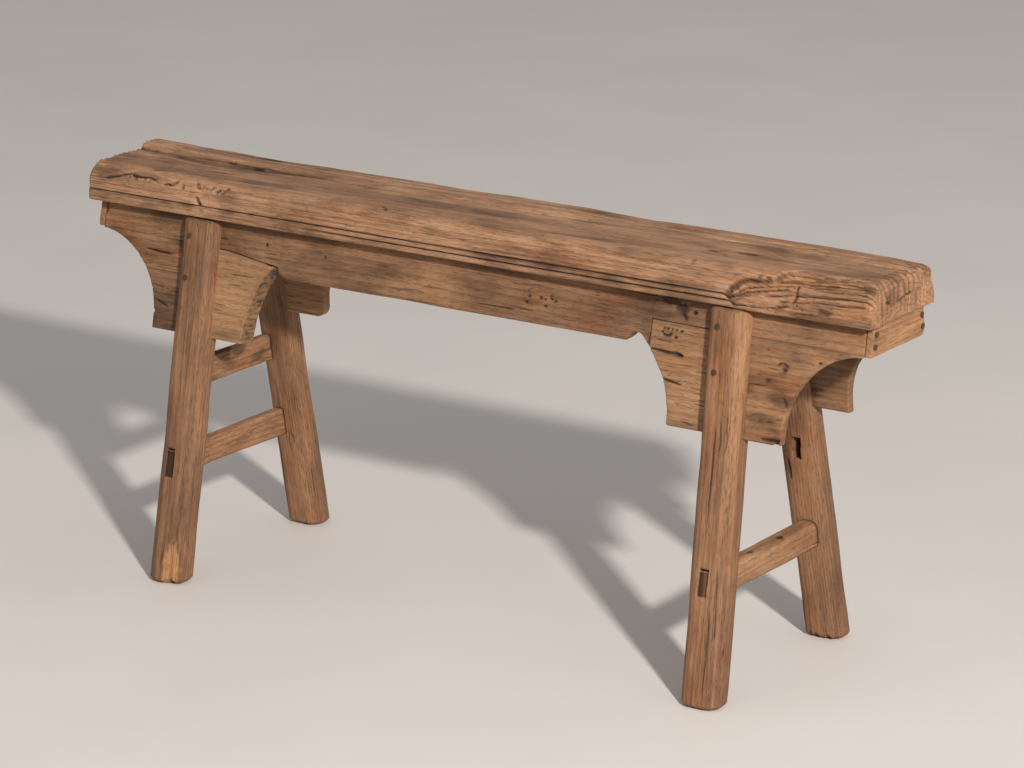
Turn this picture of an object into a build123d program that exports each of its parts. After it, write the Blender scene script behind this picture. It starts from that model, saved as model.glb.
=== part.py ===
from build123d import *
import os

# A narrow backless bench of joined wood, in millimetres.
# X runs along the seat, -Y is the front, +Z is up. The origin is on the floor, under the middle.
# The legs lean out to the front and the back. Their slotted tops clamp the apron boards and the
# spandrels, and a stub tenon on each leg stands in a blind mortise under the seat.

# ---- seat
seat_length = 1115.0
seat_width = 154.0
seat_thickness = 48.0
bench_height = 500.0
seat_arris_radius = 8.0
sprung_strip_width = 35.0
sprung_strip_rise_at_end = 7.0
sprung_strip_rise = 2.5
sprung_strip_ramp = 160.0
sprung_strip_length = 750.0
groove_width = 1.6
groove_depth = 1.6
upper_groove_above_underside = 15.0
lower_groove_above_underside = 8.0

# ---- legs
leg_width = 52.0
leg_depth = 42.0
leg_corner_radius = 17.0
leg_top_inside_seat_edge = 1.0
foot_centre_from_middle = 145.0
left_leg_from_seat_end = 172.5
right_leg_from_seat_end = 185.5
left_foot_lean_out = -3.0
right_foot_lean_out = 22.0
outer_cheek = 18.5

# ---- stub tenons on the leg tops
stub_tenon_length = 30.0
stub_tenon_thickness = 10.0
stub_tenon_height = 22.0
seat_wall_outside_tenon = 8.0
mortise_side_gap = 0.1
mortise_end_gap = 1.0

# ---- aprons and spandrels
board_thickness = 13.0
slot_gap = 0.1
seat_end_overhang = 5.5
apron_depth = 62.0
apron_end_depth = 33.5
spandrel_depth = 149.0
spandrel_tip_height = 2.5
outer_foot_from_apron_end = 91.0
outer_foot_straight = 15.0
inner_foot_from_apron_end = 242.0
cusp_from_inner_foot = 33.5
cusp_round_length = 19.5
cusp_round_height = 12.0
cusp_to_spandrel_drop = 2.0
left_joint_depth_at_cusp = 48.5
left_joint_depth_at_leg = 39.0
right_joint_depth_at_cusp = 32.0
right_joint_depth_at_leg = 33.0
joint_knee_from_cusp = 75.0

# ---- end boards and their nails
end_board_thickness = 9.0
end_board_height = 35.5
nail_radius = 1.5
nail_head_radius = 3.5
nail_head_thickness = 1.2
nail_length = 30.0
upper_nail_depth = 10.0
lower_nail_depth = 24.0
nail_gap = 0.05

# ---- pegs through the leg tops
peg_radius = 3.5
peg_left_of_leg_centre = 10.0
upper_peg_depth = 24.0
lower_peg_depth = 75.0
peg_gap = 0.05

# ---- stretchers between the front and rear legs
stretcher_height = 36.0
left_stretcher_width = 13.0
left_stretcher_corner = 1.5
upper_left_outside_leg_centre = 8.5
lower_left_outside_leg_centre = 5.5
right_stretcher_width = 26.0
right_stretcher_corner = 9.0
lower_right_outside_leg_centre = 3.0
upper_stretcher_below_spandrel = 33.0
lower_stretcher_below_upper = 67.0
right_stretcher_lower_by = 9.0

# ---- the stretchers' tenons: through the legs on the lower ones, blind on the upper
left_tenon_height = 32.0
left_tenon_above_bar_underside = 1.0
right_tenon_width = 12.0
right_tenon_height = 28.0
right_tenon_above_bar_underside = 5.0
right_tenon_inside_bar_centre = 6.0
through_mortise_top_gap = 3.5
through_tenon_short_of_face = 2.0
upper_tenon_width = 11.0
upper_tenon_height = 29.0
upper_tenon_above_bar_underside = 1.0
upper_tenon_depth = 20.0
empty_mortise_outside_leg_centre = 1.5

# ---- worked out from the sizes above
underside = bench_height - seat_thickness
seat_half = seat_length / 2
end_board_outer_x = seat_half - seat_end_overhang
apron_end_x = end_board_outer_x - end_board_thickness
leg_top_y = seat_width / 2 - leg_top_inside_seat_edge - leg_depth / 2
apron_outer_y = leg_top_y + leg_depth / 2 - outer_cheek
apron_inner_y = apron_outer_y - board_thickness
spandrel_foot_z = underside - spandrel_depth
inner_foot_x = apron_end_x - inner_foot_from_apron_end
cusp_x = inner_foot_x - cusp_from_inner_foot
knee_x = cusp_x + joint_knee_from_cusp
upper_stretcher_top = spandrel_foot_z - upper_stretcher_below_spandrel
upper_stretcher_low = upper_stretcher_top - stretcher_height
lower_stretcher_top = {"left": upper_stretcher_low - lower_stretcher_below_upper}
lower_stretcher_top["right"] = lower_stretcher_top["left"] - right_stretcher_lower_by
beyond = bench_height

SIDES = {"left": -1, "right": 1}
leg_top_x = {"left": seat_half - left_leg_from_seat_end, "right": seat_half - right_leg_from_seat_end}
foot_x = {"left": leg_top_x["left"] + left_foot_lean_out, "right": leg_top_x["right"] + right_foot_lean_out}


def lean_y(z):
    """How far the leg's line has moved out from the middle at height z, from its place at the seat."""
    return (foot_centre_from_middle - leg_top_y) * (underside - z) / underside


def leg_x(side, z):
    """The leg centre's distance from the bench's middle, along the seat, at height z."""
    return leg_top_x[side] + (foot_x[side] - leg_top_x[side]) * (underside - z) / underside


def to_front(shape):
    """The same piece on the front of the bench."""
    return mirror(shape, about=Plane.XZ)


def leaning_slab(outer_y, inner_y, z_low, z_high):
    """A slab along X between two planes that lean with the legs, on the rear of the bench."""
    corners = [
        (outer_y + lean_y(z_low), z_low),
        (outer_y + lean_y(z_high), z_high),
        (inner_y + lean_y(z_high), z_high),
        (inner_y + lean_y(z_low), z_low),
    ]
    section = Plane.YZ * make_face(Polyline(*corners, close=True))
    return extrude(section, amount=beyond + seat_length, both=True)


def rear_board(outline):
    """The board cut to an outline in X and Z, leaning with the rear legs."""
    prism = extrude(Plane.XZ * make_face(outline), amount=beyond, both=True)
    return prism & leaning_slab(apron_outer_y, apron_inner_y, spandrel_foot_z, underside)


# ---------------------------------------------------------------- legs
def leg_blank(side):
    """The rear leg before any joint is cut: a rounded section carried from the floor to the seat."""
    sign = SIDES[side]
    foot = Pos(sign * foot_x[side], foot_centre_from_middle, 0)
    run = Vector(
        sign * (leg_top_x[side] - foot_x[side]),
        leg_top_y - foot_centre_from_middle,
        underside,
    )
    section = foot * RectangleRounded(leg_width, leg_depth, leg_corner_radius)
    return extrude(section, amount=run.length, dir=run)


def stub_tenon(side, gap, height):
    """The tenon on a rear leg's outer cheek, or its mortise when it has a gap."""
    outer = seat_width / 2 - seat_wall_outside_tenon
    tenon = Box(
        stub_tenon_length + 2 * gap,
        stub_tenon_thickness + 2 * gap,
        height,
        align=(Align.CENTER, Align.CENTER, Align.MIN),
    )
    return Pos(SIDES[side] * leg_top_x[side], outer - stub_tenon_thickness / 2, underside) * tenon


def peg_rods(side, radius):
    """Two rods through the leg along Y: one crosses the apron, the other a spandrel."""
    rods = []
    for depth in (upper_peg_depth, lower_peg_depth):
        z = underside - depth
        x = SIDES[side] * leg_x(side, z) - peg_left_of_leg_centre
        rods.append(Pos(x, beyond / 2, z) * Rot(90, 0, 0) * Cylinder(radius, beyond))
    return rods


def board_slot():
    """The slot in a leg's top that holds the apron and the spandrels."""
    outer = apron_outer_y + slot_gap
    inner = apron_inner_y - slot_gap
    return leaning_slab(outer, inner, spandrel_foot_z, underside)


def inner_leg_face(z):
    """The distance from the bench's middle to a leg's inner face, at height z."""
    return leg_top_y - leg_depth / 2 + lean_y(z)


# ---------------------------------------------------------------- stretchers
def bar(x, low, width, height, length):
    """A plain bar along Y, centred on the bench, with its underside at low."""
    return Pos(x, 0, low + height / 2) * Box(width, length, height)


def stretcher_x(side, top, outside):
    """The X of a stretcher that stands a distance outside its leg's centre line."""
    return SIDES[side] * (leg_x(side, top - stretcher_height / 2) + outside)


lower_bar_x = {
    "left": stretcher_x("left", lower_stretcher_top["left"], lower_left_outside_leg_centre),
    "right": stretcher_x("right", lower_stretcher_top["right"], lower_right_outside_leg_centre),
}
through_tenon = {
    "left": (lower_bar_x["left"], left_stretcher_width, left_tenon_height, left_tenon_above_bar_underside),
    "right": (
        lower_bar_x["right"] - right_tenon_inside_bar_centre,
        right_tenon_width,
        right_tenon_height,
        right_tenon_above_bar_underside,
    ),
}
upper_tenon_x = {
    "left": stretcher_x("left", upper_stretcher_top, upper_left_outside_leg_centre),
    "right": stretcher_x("right", upper_stretcher_top, empty_mortise_outside_leg_centre),
}


def through_tenon_bar(side, side_gap, top_gap):
    """The lower stretcher's tenons in one bar, or its mortises when it has gaps."""
    x, width, height, above = through_tenon[side]
    low = lower_stretcher_top[side] - stretcher_height + above
    return bar(x, low - side_gap, width + 2 * side_gap, height + side_gap + top_gap, 2 * beyond)


def blind_tenon_bar(side, gap):
    """The upper stretcher's tenons in one bar, or its mortises when it has a gap."""
    low = upper_stretcher_low + upper_tenon_above_bar_underside
    reach = inner_leg_face(low + upper_tenon_height / 2) + upper_tenon_depth + gap
    width = upper_tenon_width + 2 * gap
    return bar(upper_tenon_x[side], low - gap, width, upper_tenon_height + 2 * gap, 2 * reach)


def stretcher(x, top, width, corner, side, tenons):
    """The bar between two legs, scribed to their round faces, with a tenon at each end."""
    body = bar(x, top - stretcher_height, width, stretcher_height, 2 * foot_centre_from_middle)
    body = fillet(body.edges().filter_by(Axis.Y), corner)
    body = body - blank[side] - to_front(blank[side])
    between_legs = body.solids().sort_by(lambda solid: abs(solid.center().Y))[0]
    inner = leg_top_y - leg_depth / 2
    outer = leg_top_y + leg_depth / 2 - through_tenon_short_of_face
    rear_tenon = tenons & blank[side] & leaning_slab(outer, inner, 0, underside)
    return between_legs + rear_tenon + to_front(rear_tenon)


blank = {side: leg_blank(side) for side in SIDES}
stretchers = {
    "upper_left_stretcher": stretcher(
        upper_tenon_x["left"],
        upper_stretcher_top,
        left_stretcher_width,
        left_stretcher_corner,
        "left",
        blind_tenon_bar("left", 0),
    ),
    "lower_left_stretcher": stretcher(
        lower_bar_x["left"],
        lower_stretcher_top["left"],
        left_stretcher_width,
        left_stretcher_corner,
        "left",
        through_tenon_bar("left", 0, 0),
    ),
    "lower_right_stretcher": stretcher(
        lower_bar_x["right"],
        lower_stretcher_top["right"],
        right_stretcher_width,
        right_stretcher_corner,
        "right",
        through_tenon_bar("right", 0, 0),
    ),
}


def rear_leg(side):
    """The finished rear leg: slot, stub tenon, peg holes and both stretcher mortises."""
    leg = blank[side] - board_slot()
    leg = leg + stub_tenon(side, 0, stub_tenon_height)
    for rod in peg_rods(side, peg_radius + peg_gap):
        leg = leg - rod
    leg = leg - through_tenon_bar(side, mortise_side_gap, through_mortise_top_gap)
    return leg - blind_tenon_bar(side, mortise_side_gap)


def rear_pegs(side):
    """The pegs of a rear leg, cut flush with its faces."""
    return [rod & blank[side] for rod in peg_rods(side, peg_radius)]


# ---------------------------------------------------------------- aprons
joint_depths = {
    "left": (left_joint_depth_at_cusp, left_joint_depth_at_leg),
    "right": (right_joint_depth_at_cusp, right_joint_depth_at_leg),
}


def joint_points(side):
    """The line between apron and spandrel, from the cusp to the apron's end."""
    sign = SIDES[side]
    at_cusp, at_leg = joint_depths[side]
    return [
        (sign * cusp_x, underside - at_cusp),
        (sign * knee_x, underside - at_leg),
        (sign * apron_end_x, underside - apron_end_depth),
    ]


def apron_half_edge(side):
    """The apron's lower edge from its straight middle, up over the cusp and out to the end."""
    sign = SIDES[side]
    flat_end = (sign * (cusp_x - cusp_round_length), underside - apron_depth)
    cusp = (sign * cusp_x, underside - apron_depth + cusp_round_height)
    rounding = TangentArc(flat_end, cusp, tangent=(sign, 0))
    step = Polyline(cusp, *joint_points(side))
    return [rounding, step]


def rear_apron():
    """The apron board, cut away at both ends for the spandrels."""
    left = apron_half_edge("left")
    right = apron_half_edge("right")
    bottom = Line(left[0] @ 0, right[0] @ 0)
    top = Polyline(
        left[1] @ 1,
        (-apron_end_x, underside),
        (apron_end_x, underside),
        right[1] @ 1,
    )
    board = rear_board(left + right + [bottom, top])
    for side in SIDES:
        board = board - peg_rods(side, peg_radius + peg_gap)[0]
        for rod in nail_rods(side, nail_radius + nail_gap, nail_length + mortise_end_gap):
            board = board - rod
    return board


# ---------------------------------------------------------------- spandrels
def butt_x(side):
    """Where the outer and inner spandrels meet, in the middle of the leg's slot."""
    return leg_x(side, underside - spandrel_depth / 2)


def joint_height(side, x):
    """The height of the joint line at a distance x from the middle, between the knee and the end."""
    knee_z = joint_points(side)[1][1]
    end_z = joint_points(side)[2][1]
    return knee_z + (x - knee_x) / (apron_end_x - knee_x) * (end_z - knee_z)


def butt_line(side):
    """The top and the foot of the line where the outer and inner spandrels meet."""
    x = butt_x(side)
    return (SIDES[side] * x, joint_height(side, x)), (SIDES[side] * x, spandrel_foot_z)


def outer_spandrel(side):
    """The bracket outside the leg: a quarter-round brow from the apron's end down to its foot."""
    sign = SIDES[side]
    outer_foot_x = sign * (apron_end_x - outer_foot_from_apron_end)
    butt_top, butt_foot = butt_line(side)
    joint_end = joint_points(side)[2]
    tip = (joint_end[0], joint_end[1] - spandrel_tip_height)
    straight_top = (outer_foot_x, spandrel_foot_z + outer_foot_straight)
    brow = TangentArc(straight_top, tip, tangent=(0, 1))
    rest = Polyline(tip, joint_end, butt_top, butt_foot, (outer_foot_x, spandrel_foot_z), straight_top)
    return [brow, rest]


def inner_spandrel(side):
    """The bracket inside the leg: a shallow arc from its foot up to the cusp."""
    sign = SIDES[side]
    butt_top, butt_foot = butt_line(side)
    foot = (sign * inner_foot_x, spandrel_foot_z)
    tip = (sign * cusp_x, underside - apron_depth + cusp_round_height - cusp_to_spandrel_drop)
    arc = TangentArc(foot, tip, tangent=(0, 1))
    rest = Polyline(tip, *joint_points(side)[:2], butt_top, butt_foot, foot)
    return [arc, rest]


def rear_spandrel(outline, side):
    """A spandrel, bored where the lower peg of its leg crosses it."""
    return rear_board(outline) - peg_rods(side, peg_radius + peg_gap)[1]


# ---------------------------------------------------------------- end boards and nails
def nail_places():
    """The distance from the middle and the height of each nail of a rear apron's end."""
    places = []
    for depth in (upper_nail_depth, lower_nail_depth):
        z = underside - depth
        places.append((apron_outer_y - board_thickness / 2 + lean_y(z), z))
    return places


def nail_rods(side, radius, length):
    """The nails' shanks at one end of the rear apron, in from the end board's outer face."""
    rods = []
    for y, z in nail_places():
        x = SIDES[side] * (end_board_outer_x - length / 2)
        rods.append(Pos(x, y, z) * Rot(0, 90, 0) * Cylinder(radius, length))
    return rods


def rear_nails(side):
    """The whole nails at one end of the rear apron: shanks with round flat heads."""
    nails = []
    for rod, (y, z) in zip(nail_rods(side, nail_radius, nail_length), nail_places()):
        x = SIDES[side] * (end_board_outer_x + nail_head_thickness / 2)
        head = Pos(x, y, z) * Rot(0, 90, 0) * Cylinder(nail_head_radius, nail_head_thickness)
        nails.append(rod + head)
    return nails


def end_board(side):
    """The board across the ends of both aprons, its ends planed to the aprons' lean."""
    low = underside - end_board_height
    corners = [
        (apron_outer_y, underside),
        (apron_outer_y + lean_y(low), low),
        (-apron_outer_y - lean_y(low), low),
        (-apron_outer_y, underside),
    ]
    section = Plane.YZ * make_face(Polyline(*corners, close=True))
    board = extrude(section, amount=end_board_thickness)
    start = apron_end_x if side == "right" else -end_board_outer_x
    board = Pos(start, 0, 0) * board
    for rod in nail_rods(side, nail_radius + nail_gap, nail_length):
        board = board - rod - to_front(rod)
    return board


# ---------------------------------------------------------------- seat
def sprung_strip():
    """The strip along the rear edge that has split off the plank's top and stands a little higher."""
    outline = Polyline(
        (-seat_half, bench_height),
        (-seat_half, bench_height + sprung_strip_rise_at_end),
        (-seat_half + sprung_strip_ramp, bench_height + sprung_strip_rise),
        (-seat_half + sprung_strip_length - sprung_strip_ramp, bench_height + sprung_strip_rise),
        (-seat_half + sprung_strip_length, bench_height),
        close=True,
    )
    strip = extrude(Plane.XZ * make_face(outline), amount=sprung_strip_width / 2, both=True)
    return Pos(0, seat_width / 2 - seat_arris_radius - sprung_strip_width / 2, 0) * strip


def seat_plank():
    """The plank, with worn upper arrises, two scratched grooves along each long edge and mortises."""
    plank = Pos(0, 0, underside + seat_thickness / 2) * Box(seat_length, seat_width, seat_thickness)
    upper_arrises = plank.edges().filter_by(Axis.X).group_by(Axis.Z)[-1]
    plank = fillet(upper_arrises, seat_arris_radius)
    plank = plank + sprung_strip()
    for height in (upper_groove_above_underside, lower_groove_above_underside):
        groove = Pos(0, seat_width / 2, underside + height) * Box(seat_length, 2 * groove_depth, groove_width)
        plank = plank - groove - to_front(groove)
    for side in SIDES:
        mortise = stub_tenon(side, mortise_side_gap, stub_tenon_height + mortise_end_gap)
        plank = plank - mortise - to_front(mortise)
    return plank


# ---------------------------------------------------------------- the pieces
pieces = {"seat_plank": seat_plank(), **stretchers}
apron = rear_apron()
pieces["rear_apron"] = apron
pieces["front_apron"] = to_front(apron)
pegs = []
nails = []
for side in SIDES:
    leg = rear_leg(side)
    pieces[f"rear_{side}_leg"] = leg
    pieces[f"front_{side}_leg"] = to_front(leg)
    for place, outline in (("outer", outer_spandrel(side)), ("inner", inner_spandrel(side))):
        spandrel = rear_spandrel(outline, side)
        pieces[f"rear_{side}_{place}_spandrel"] = spandrel
        pieces[f"front_{side}_{place}_spandrel"] = to_front(spandrel)
    pieces[f"{side}_end_board"] = end_board(side)
    for peg in rear_pegs(side):
        pegs += [peg, to_front(peg)]
    for nail in rear_nails(side):
        nails += [nail, to_front(nail)]
pieces["leg_pegs"] = Compound(children=[solid for peg in pegs for solid in peg.solids()])
pieces["end_board_nails"] = Compound(children=[solid for nail in nails for solid in nail.solids()])

os.makedirs("parts", exist_ok=True)
for name, piece in pieces.items():
    export_step(piece, f"parts/{name}.step")
    print(name, len(piece.solids()), "solid(s)", round(sum(solid.volume for solid in piece.solids())), "mm3")
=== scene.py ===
# %% [markdown]
# # An old elm bench
# A narrow trestle bench stands on four splayed legs. Its aprons and spandrels run through slots in
# the leg tops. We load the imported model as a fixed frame, and then give every stick of it the skin
# of weathered wood. The frame says where everything is, so nothing is placed by eye.

# %% Load the frame
import math
from types import SimpleNamespace

import bpy
import numpy as np
from mathutils import Matrix, Vector


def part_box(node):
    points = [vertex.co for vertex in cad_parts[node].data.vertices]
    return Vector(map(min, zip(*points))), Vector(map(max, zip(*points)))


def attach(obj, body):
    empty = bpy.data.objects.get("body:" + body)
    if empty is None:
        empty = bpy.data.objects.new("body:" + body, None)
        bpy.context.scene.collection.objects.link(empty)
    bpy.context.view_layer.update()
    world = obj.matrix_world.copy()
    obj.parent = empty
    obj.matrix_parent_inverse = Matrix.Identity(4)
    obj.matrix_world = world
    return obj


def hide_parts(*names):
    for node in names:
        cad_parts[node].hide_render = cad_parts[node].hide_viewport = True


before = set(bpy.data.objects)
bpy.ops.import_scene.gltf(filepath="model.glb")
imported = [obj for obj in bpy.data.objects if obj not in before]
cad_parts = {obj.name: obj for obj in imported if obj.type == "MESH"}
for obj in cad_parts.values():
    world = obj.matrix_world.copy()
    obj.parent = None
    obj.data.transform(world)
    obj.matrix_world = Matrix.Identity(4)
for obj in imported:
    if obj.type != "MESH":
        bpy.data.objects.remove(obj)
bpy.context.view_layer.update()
print("frame nodes:", len(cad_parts))

# %% [markdown]
# ## The camera first
# A bench this long is seen best with a long lens from far away, because a near one would blow up
# one end. A camera looks down its own -Z, so its three axes go into a matrix as columns.

# %% Camera
CAMERA_PLACE = Vector((2.437916, -3.606866, 1.530862))
YAW = 0.588203
PITCH = 0.279125
ROLL = 0.004352
FOCAL_WIDTHS = 3753.43 / 1024

ahead = (-math.sin(YAW) * math.cos(PITCH), math.cos(YAW) * math.cos(PITCH))
look = Vector((*ahead, -math.sin(PITCH)))
level = Vector((math.cos(YAW), math.sin(YAW), 0))
upright = level.cross(look)
right = math.cos(ROLL) * level + math.sin(ROLL) * upright
up = -math.sin(ROLL) * level + math.cos(ROLL) * upright
camera_data = bpy.data.cameras.new("camera")
camera_data.sensor_width = 36
camera_data.lens = 36 * FOCAL_WIDTHS
camera_data.clip_end = 100
camera = bpy.data.objects.new("camera", camera_data)
axes = Matrix((right, up, -look)).transposed()
camera.matrix_world = Matrix.Translation(CAMERA_PLACE) @ axes.to_4x4()
bpy.context.collection.objects.link(camera)
bpy.context.scene.camera = camera
bpy.context.scene.view_settings.view_transform = "Standard"
print("lens:", round(camera_data.lens, 1), "mm")

# %% [markdown]
# ## Noise for worn wood
# Wear is never even. Value noise puts a random number on each point of a lattice and blends
# smoothly between them. Stretching the lattice along the grain gives ridges and furrows. Blender
# has noise in its materials, but a shape needs it in numpy, for all the points at once.

# %% Noise
LATTICE = 64


def at(*parts):
    """Three coordinates as an array of places. A plain number stands for the same one everywhere."""
    return np.stack(np.broadcast_arrays(*parts), 1)


def noise(places, seed):
    """Smooth noise from 0 to 1: random numbers on a cubic lattice, blended by 3t^2 - 2t^3."""
    table = np.random.default_rng(seed).random((LATTICE, LATTICE, LATTICE))
    cell = np.floor(places).astype(int)
    part = places - cell
    part = part * part * (3 - 2 * part)
    total = np.zeros(len(places))
    for corner in np.ndindex(2, 2, 2):
        near = np.prod(np.where(corner, part, 1 - part), axis=1)
        node = (cell + corner) % LATTICE
        total += near * table[node[:, 0], node[:, 1], node[:, 2]]
    return total


def layered(places, seed):
    """Three sizes of noise added up, each half as wide and half as strong as the one before."""
    large = noise(places, seed)
    middle = noise(2 * places, seed + 1)
    small = noise(4 * places, seed + 2)
    return (4 * large + 2 * middle + small) / 7


def step(low, high, value):
    """0 below low, 1 above high, and a smooth rise between."""
    t = np.clip((value - low) / (high - low), 0, 1)
    return t * t * (3 - 2 * t)


def near_line(distance, half_width):
    """1 on a line and 0 past its half width."""
    return np.clip(1 - np.abs(distance) / half_width, 0, 1)


# %% [markdown]
# ## One skin for every stick
# Planks, boards, legs and bars are all blocks of wood. Each one is the skin of a block: a section
# carried along the length, with a grid at each end. Three numbers from 0 to 1 name a point on it:
# along, across and through. A piece is then a function of those numbers. Boxes with a bevel
# modifier would be quicker, but their big flat faces could hold no cracks, furrows or wear.

# %% Block skin
def block_skin(along, across, through):
    """The skin of a unit block: its points as (along, across, through), and its quads.

    The ring at one place along runs round the section. Each end is closed by a grid that shares
    the ring's points, so there is no seam and no pole.
    """
    a = len(across) - 1
    b = len(through) - 1
    low_side = np.stack([across[:-1], np.full(a, through[0])])
    far_side = np.stack([np.full(b, across[-1]), through[:-1]])
    high_side = np.stack([across[:0:-1], np.full(a, through[-1])])
    near_side = np.stack([np.full(b, across[0]), through[:0:-1]])
    ring = np.concatenate([low_side, far_side, high_side, near_side], axis=1).T
    around = len(ring)
    n = len(along)
    sides = np.concatenate([np.repeat(along, around)[:, None], np.tile(ring, (n, 1))], axis=1)
    inner = np.stack(np.meshgrid(across[1:-1], through[1:-1], indexing="ij"), -1).reshape(-1, 2)
    start_cap = np.insert(inner, 0, along[0], axis=1)
    end_cap = np.insert(inner, 0, along[-1], axis=1)
    points = np.concatenate([sides, start_cap, end_cap])

    i, j = np.meshgrid(np.arange(n - 1), np.arange(around), indexing="ij")
    k = (j + 1) % around
    here = i * around
    ahead = (i + 1) * around
    quads = [np.stack([here + j, here + k, ahead + k, ahead + j], -1)]
    for end in (0, 1):
        first = end * (n - 1) * around
        grid = np.empty((a + 1, b + 1), int)
        grid[:a, 0] = first + np.arange(a)
        grid[a, :b] = first + a + np.arange(b)
        grid[a:0:-1, b] = first + a + b + np.arange(a)
        grid[0, b:0:-1] = first + 2 * a + b + np.arange(b)
        inside = n * around + end * (a - 1) * (b - 1)
        grid[1:-1, 1:-1] = inside + np.arange((a - 1) * (b - 1)).reshape(a - 1, b - 1)
        cap = np.stack([grid[:-1, :-1], grid[:-1, 1:], grid[1:, 1:], grid[1:, :-1]], -1)
        quads.append(cap[..., ::-1] if end else cap)
    return points, np.concatenate([q.reshape(-1, 4) for q in quads])


def soften(places, low, high, radius):
    """A box's skin with its edges rounded, each axis by its own radius.

    A point in an edge zone is measured from the box shrunk by the radius, and its square distance
    is turned into a round one: d * max|d| / length(d).
    """
    core = np.clip(places, low + radius, high - radius)
    d = (places - core) / radius
    longest = np.abs(d).max(axis=1)
    length = np.maximum(np.linalg.norm(d, axis=1), 1e-9)
    return core + radius * d * (longest / length)[:, None]


def with_extra(places, extra, clearance):
    """Places with extra ones among them. Those too near an extra one go, but never the first and last."""
    if not len(extra):
        return places
    extra = np.array(sorted(extra))
    clear = np.abs(places[:, None] - extra).min(axis=1) > clearance
    clear[[0, -1]] = True
    return np.sort(np.concatenate([places[clear], extra]))


def spaced(start, end, gap, *extra):
    """Places from start to end about gap apart, with extra ones where a joint or crack needs them."""
    places = np.linspace(start, end, max(3, round((end - start) / gap) + 1))
    return with_extra(places, extra, 0.4 * gap)


def zoned(stops, gaps, *extra):
    """Places from the first stop to the last, whose gap changes at each stop, with extra ones added."""
    parts = [spaced(low, high, gap)[:-1] for low, high, gap in zip(stops, stops[1:], gaps)]
    places = np.append(np.concatenate(parts), stops[-1])
    return with_extra(places, extra, 0.4 * min(gaps))


def vertex_normals(points, quads):
    """Outward unit normals: each quad's diagonal cross product, added up at its corners."""
    corners = points[quads]
    face = np.cross(corners[:, 2] - corners[:, 0], corners[:, 3] - corners[:, 1])
    normals = np.zeros_like(points)
    for column in range(4):
        for axis in range(3):
            normals[:, axis] += np.bincount(quads[:, column], face[:, axis], len(points))
    return normals / np.maximum(np.linalg.norm(normals, axis=1), 1e-12)[:, None]


def volume(points, quads):
    """The space inside: a sum of corner triple products, positive when the faces look outward."""
    p = points[quads]
    one = np.einsum("ij,ij->i", p[:, 0], np.cross(p[:, 1], p[:, 2]))
    two = np.einsum("ij,ij->i", p[:, 0], np.cross(p[:, 2], p[:, 3]))
    return (one.sum() + two.sum()) / 6


# %% [markdown]
# ## A stick on the workbench
# While a piece is being worked, we keep four things for each point: where it is, where it is in the
# grain of the board, how dark it is, from dirt and from painted shade, and how freshly broken. A cut
# pushes points in along their normals and darkens them. The grain, darkness and fresh numbers go into
# the mesh as attributes, and the wood material reads them. That way one material fits pieces that lie
# in any direction.

# %% Stick
class Stick:
    """A piece of wood while it is being shaped."""

    def __init__(self, points, quads, grain, seed):
        self.points = points
        self.quads = quads if volume(points, quads) > 0 else quads[:, ::-1]
        self.grain = grain
        self.seed = seed
        self.dirt_and_shade = np.zeros(len(points))
        self.fresh = np.zeros(len(points))
        self.normals = vertex_normals(points, self.quads)

    def stain(self, strength, size, seed):
        """Cloudy stains, a few times longer than wide, with the size that is given in metres."""
        cloud = layered(self.grain / (2.2 * size, size, size), seed)
        self.dirt_and_shade = self.dirt_and_shade + strength * step(0.42, 0.72, cloud)

    def push_in(self, depth):
        """Every point moves inward by its own depth."""
        self.points = self.points - self.normals * depth[:, None]

    def weather(self, depth, fine_depth, dirt_and_shade=0.3):
        """Furrows along the grain: long wide ones, and short narrow ones over them."""
        wide = layered(self.grain * (9, 110, 110), self.seed)
        fine = noise(self.grain * (30, 420, 420), self.seed + 5)
        furrow = step(0.5, 0.85, wide)
        self.push_in(depth * furrow + fine_depth * fine)
        self.dirt_and_shade += dirt_and_shade * furrow

    def slit(self, start, end, width, depth, dirt_and_shade=1.0, fresh=0.0, wander=0.0, taper=True):
        """A crack from start to end: a V that fades with distance from the line, and at its ends.

        The line wanders sideways by smooth noise along its length.
        """
        start = np.array(start)
        run = np.array(end) - start
        length = np.linalg.norm(run)
        t = np.clip((self.points - start) @ run / length**2, 0, 1)
        side = np.cross(run / length, self.normals)
        if wander:
            sway = noise(at(t * length * 55, 0, 0) + self.seed, self.seed) - 0.5
            offset = side * (wander * sway)[:, None]
        else:
            offset = 0
        away = np.linalg.norm(self.points - offset - start - t[:, None] * run, axis=1)
        here = np.sqrt(np.sin(np.pi * np.clip(t, 0.02, 0.98))) if taper else 1
        mark = np.clip(1 - away / (width * here), 0, 1)
        self.push_in(depth * here * mark)
        self.dirt_and_shade = np.maximum(self.dirt_and_shade, dirt_and_shade * np.sqrt(mark))
        self.fresh = np.maximum(self.fresh, fresh * np.sqrt(mark))

    def pit(self, centre, size, depth, dirt_and_shade=0.8, fresh=0.0, ragged=0.5):
        """A hollow: an ellipsoid of influence whose rim is broken by noise."""
        away = np.linalg.norm((self.points - np.array(centre)) / np.array(size), axis=1)
        away = away + ragged * (noise(self.points * 260, self.seed + 9) - 0.5)
        mark = step(1, 0.45, away)
        self.push_in(depth * mark)
        self.dirt_and_shade = np.maximum(self.dirt_and_shade, dirt_and_shade * mark)
        self.fresh = np.maximum(self.fresh, fresh * mark)

    def mark(self, kind, places, *how):
        """A slit between two places or a pit at one, with its sizes in the order that those take."""
        cut = self.slit if kind == "slit" else self.pit
        cut(*places, *how)


# %% [markdown]
# ## Shader sums
# A wood material is mostly sums on numbers: a ring here, a streak there, a mask. We wrap a socket in
# a small class, so that such a sum is written as plain Python and makes its own Math nodes. Drawing
# the nodes by hand would work too, but nobody could read it afterwards.

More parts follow.
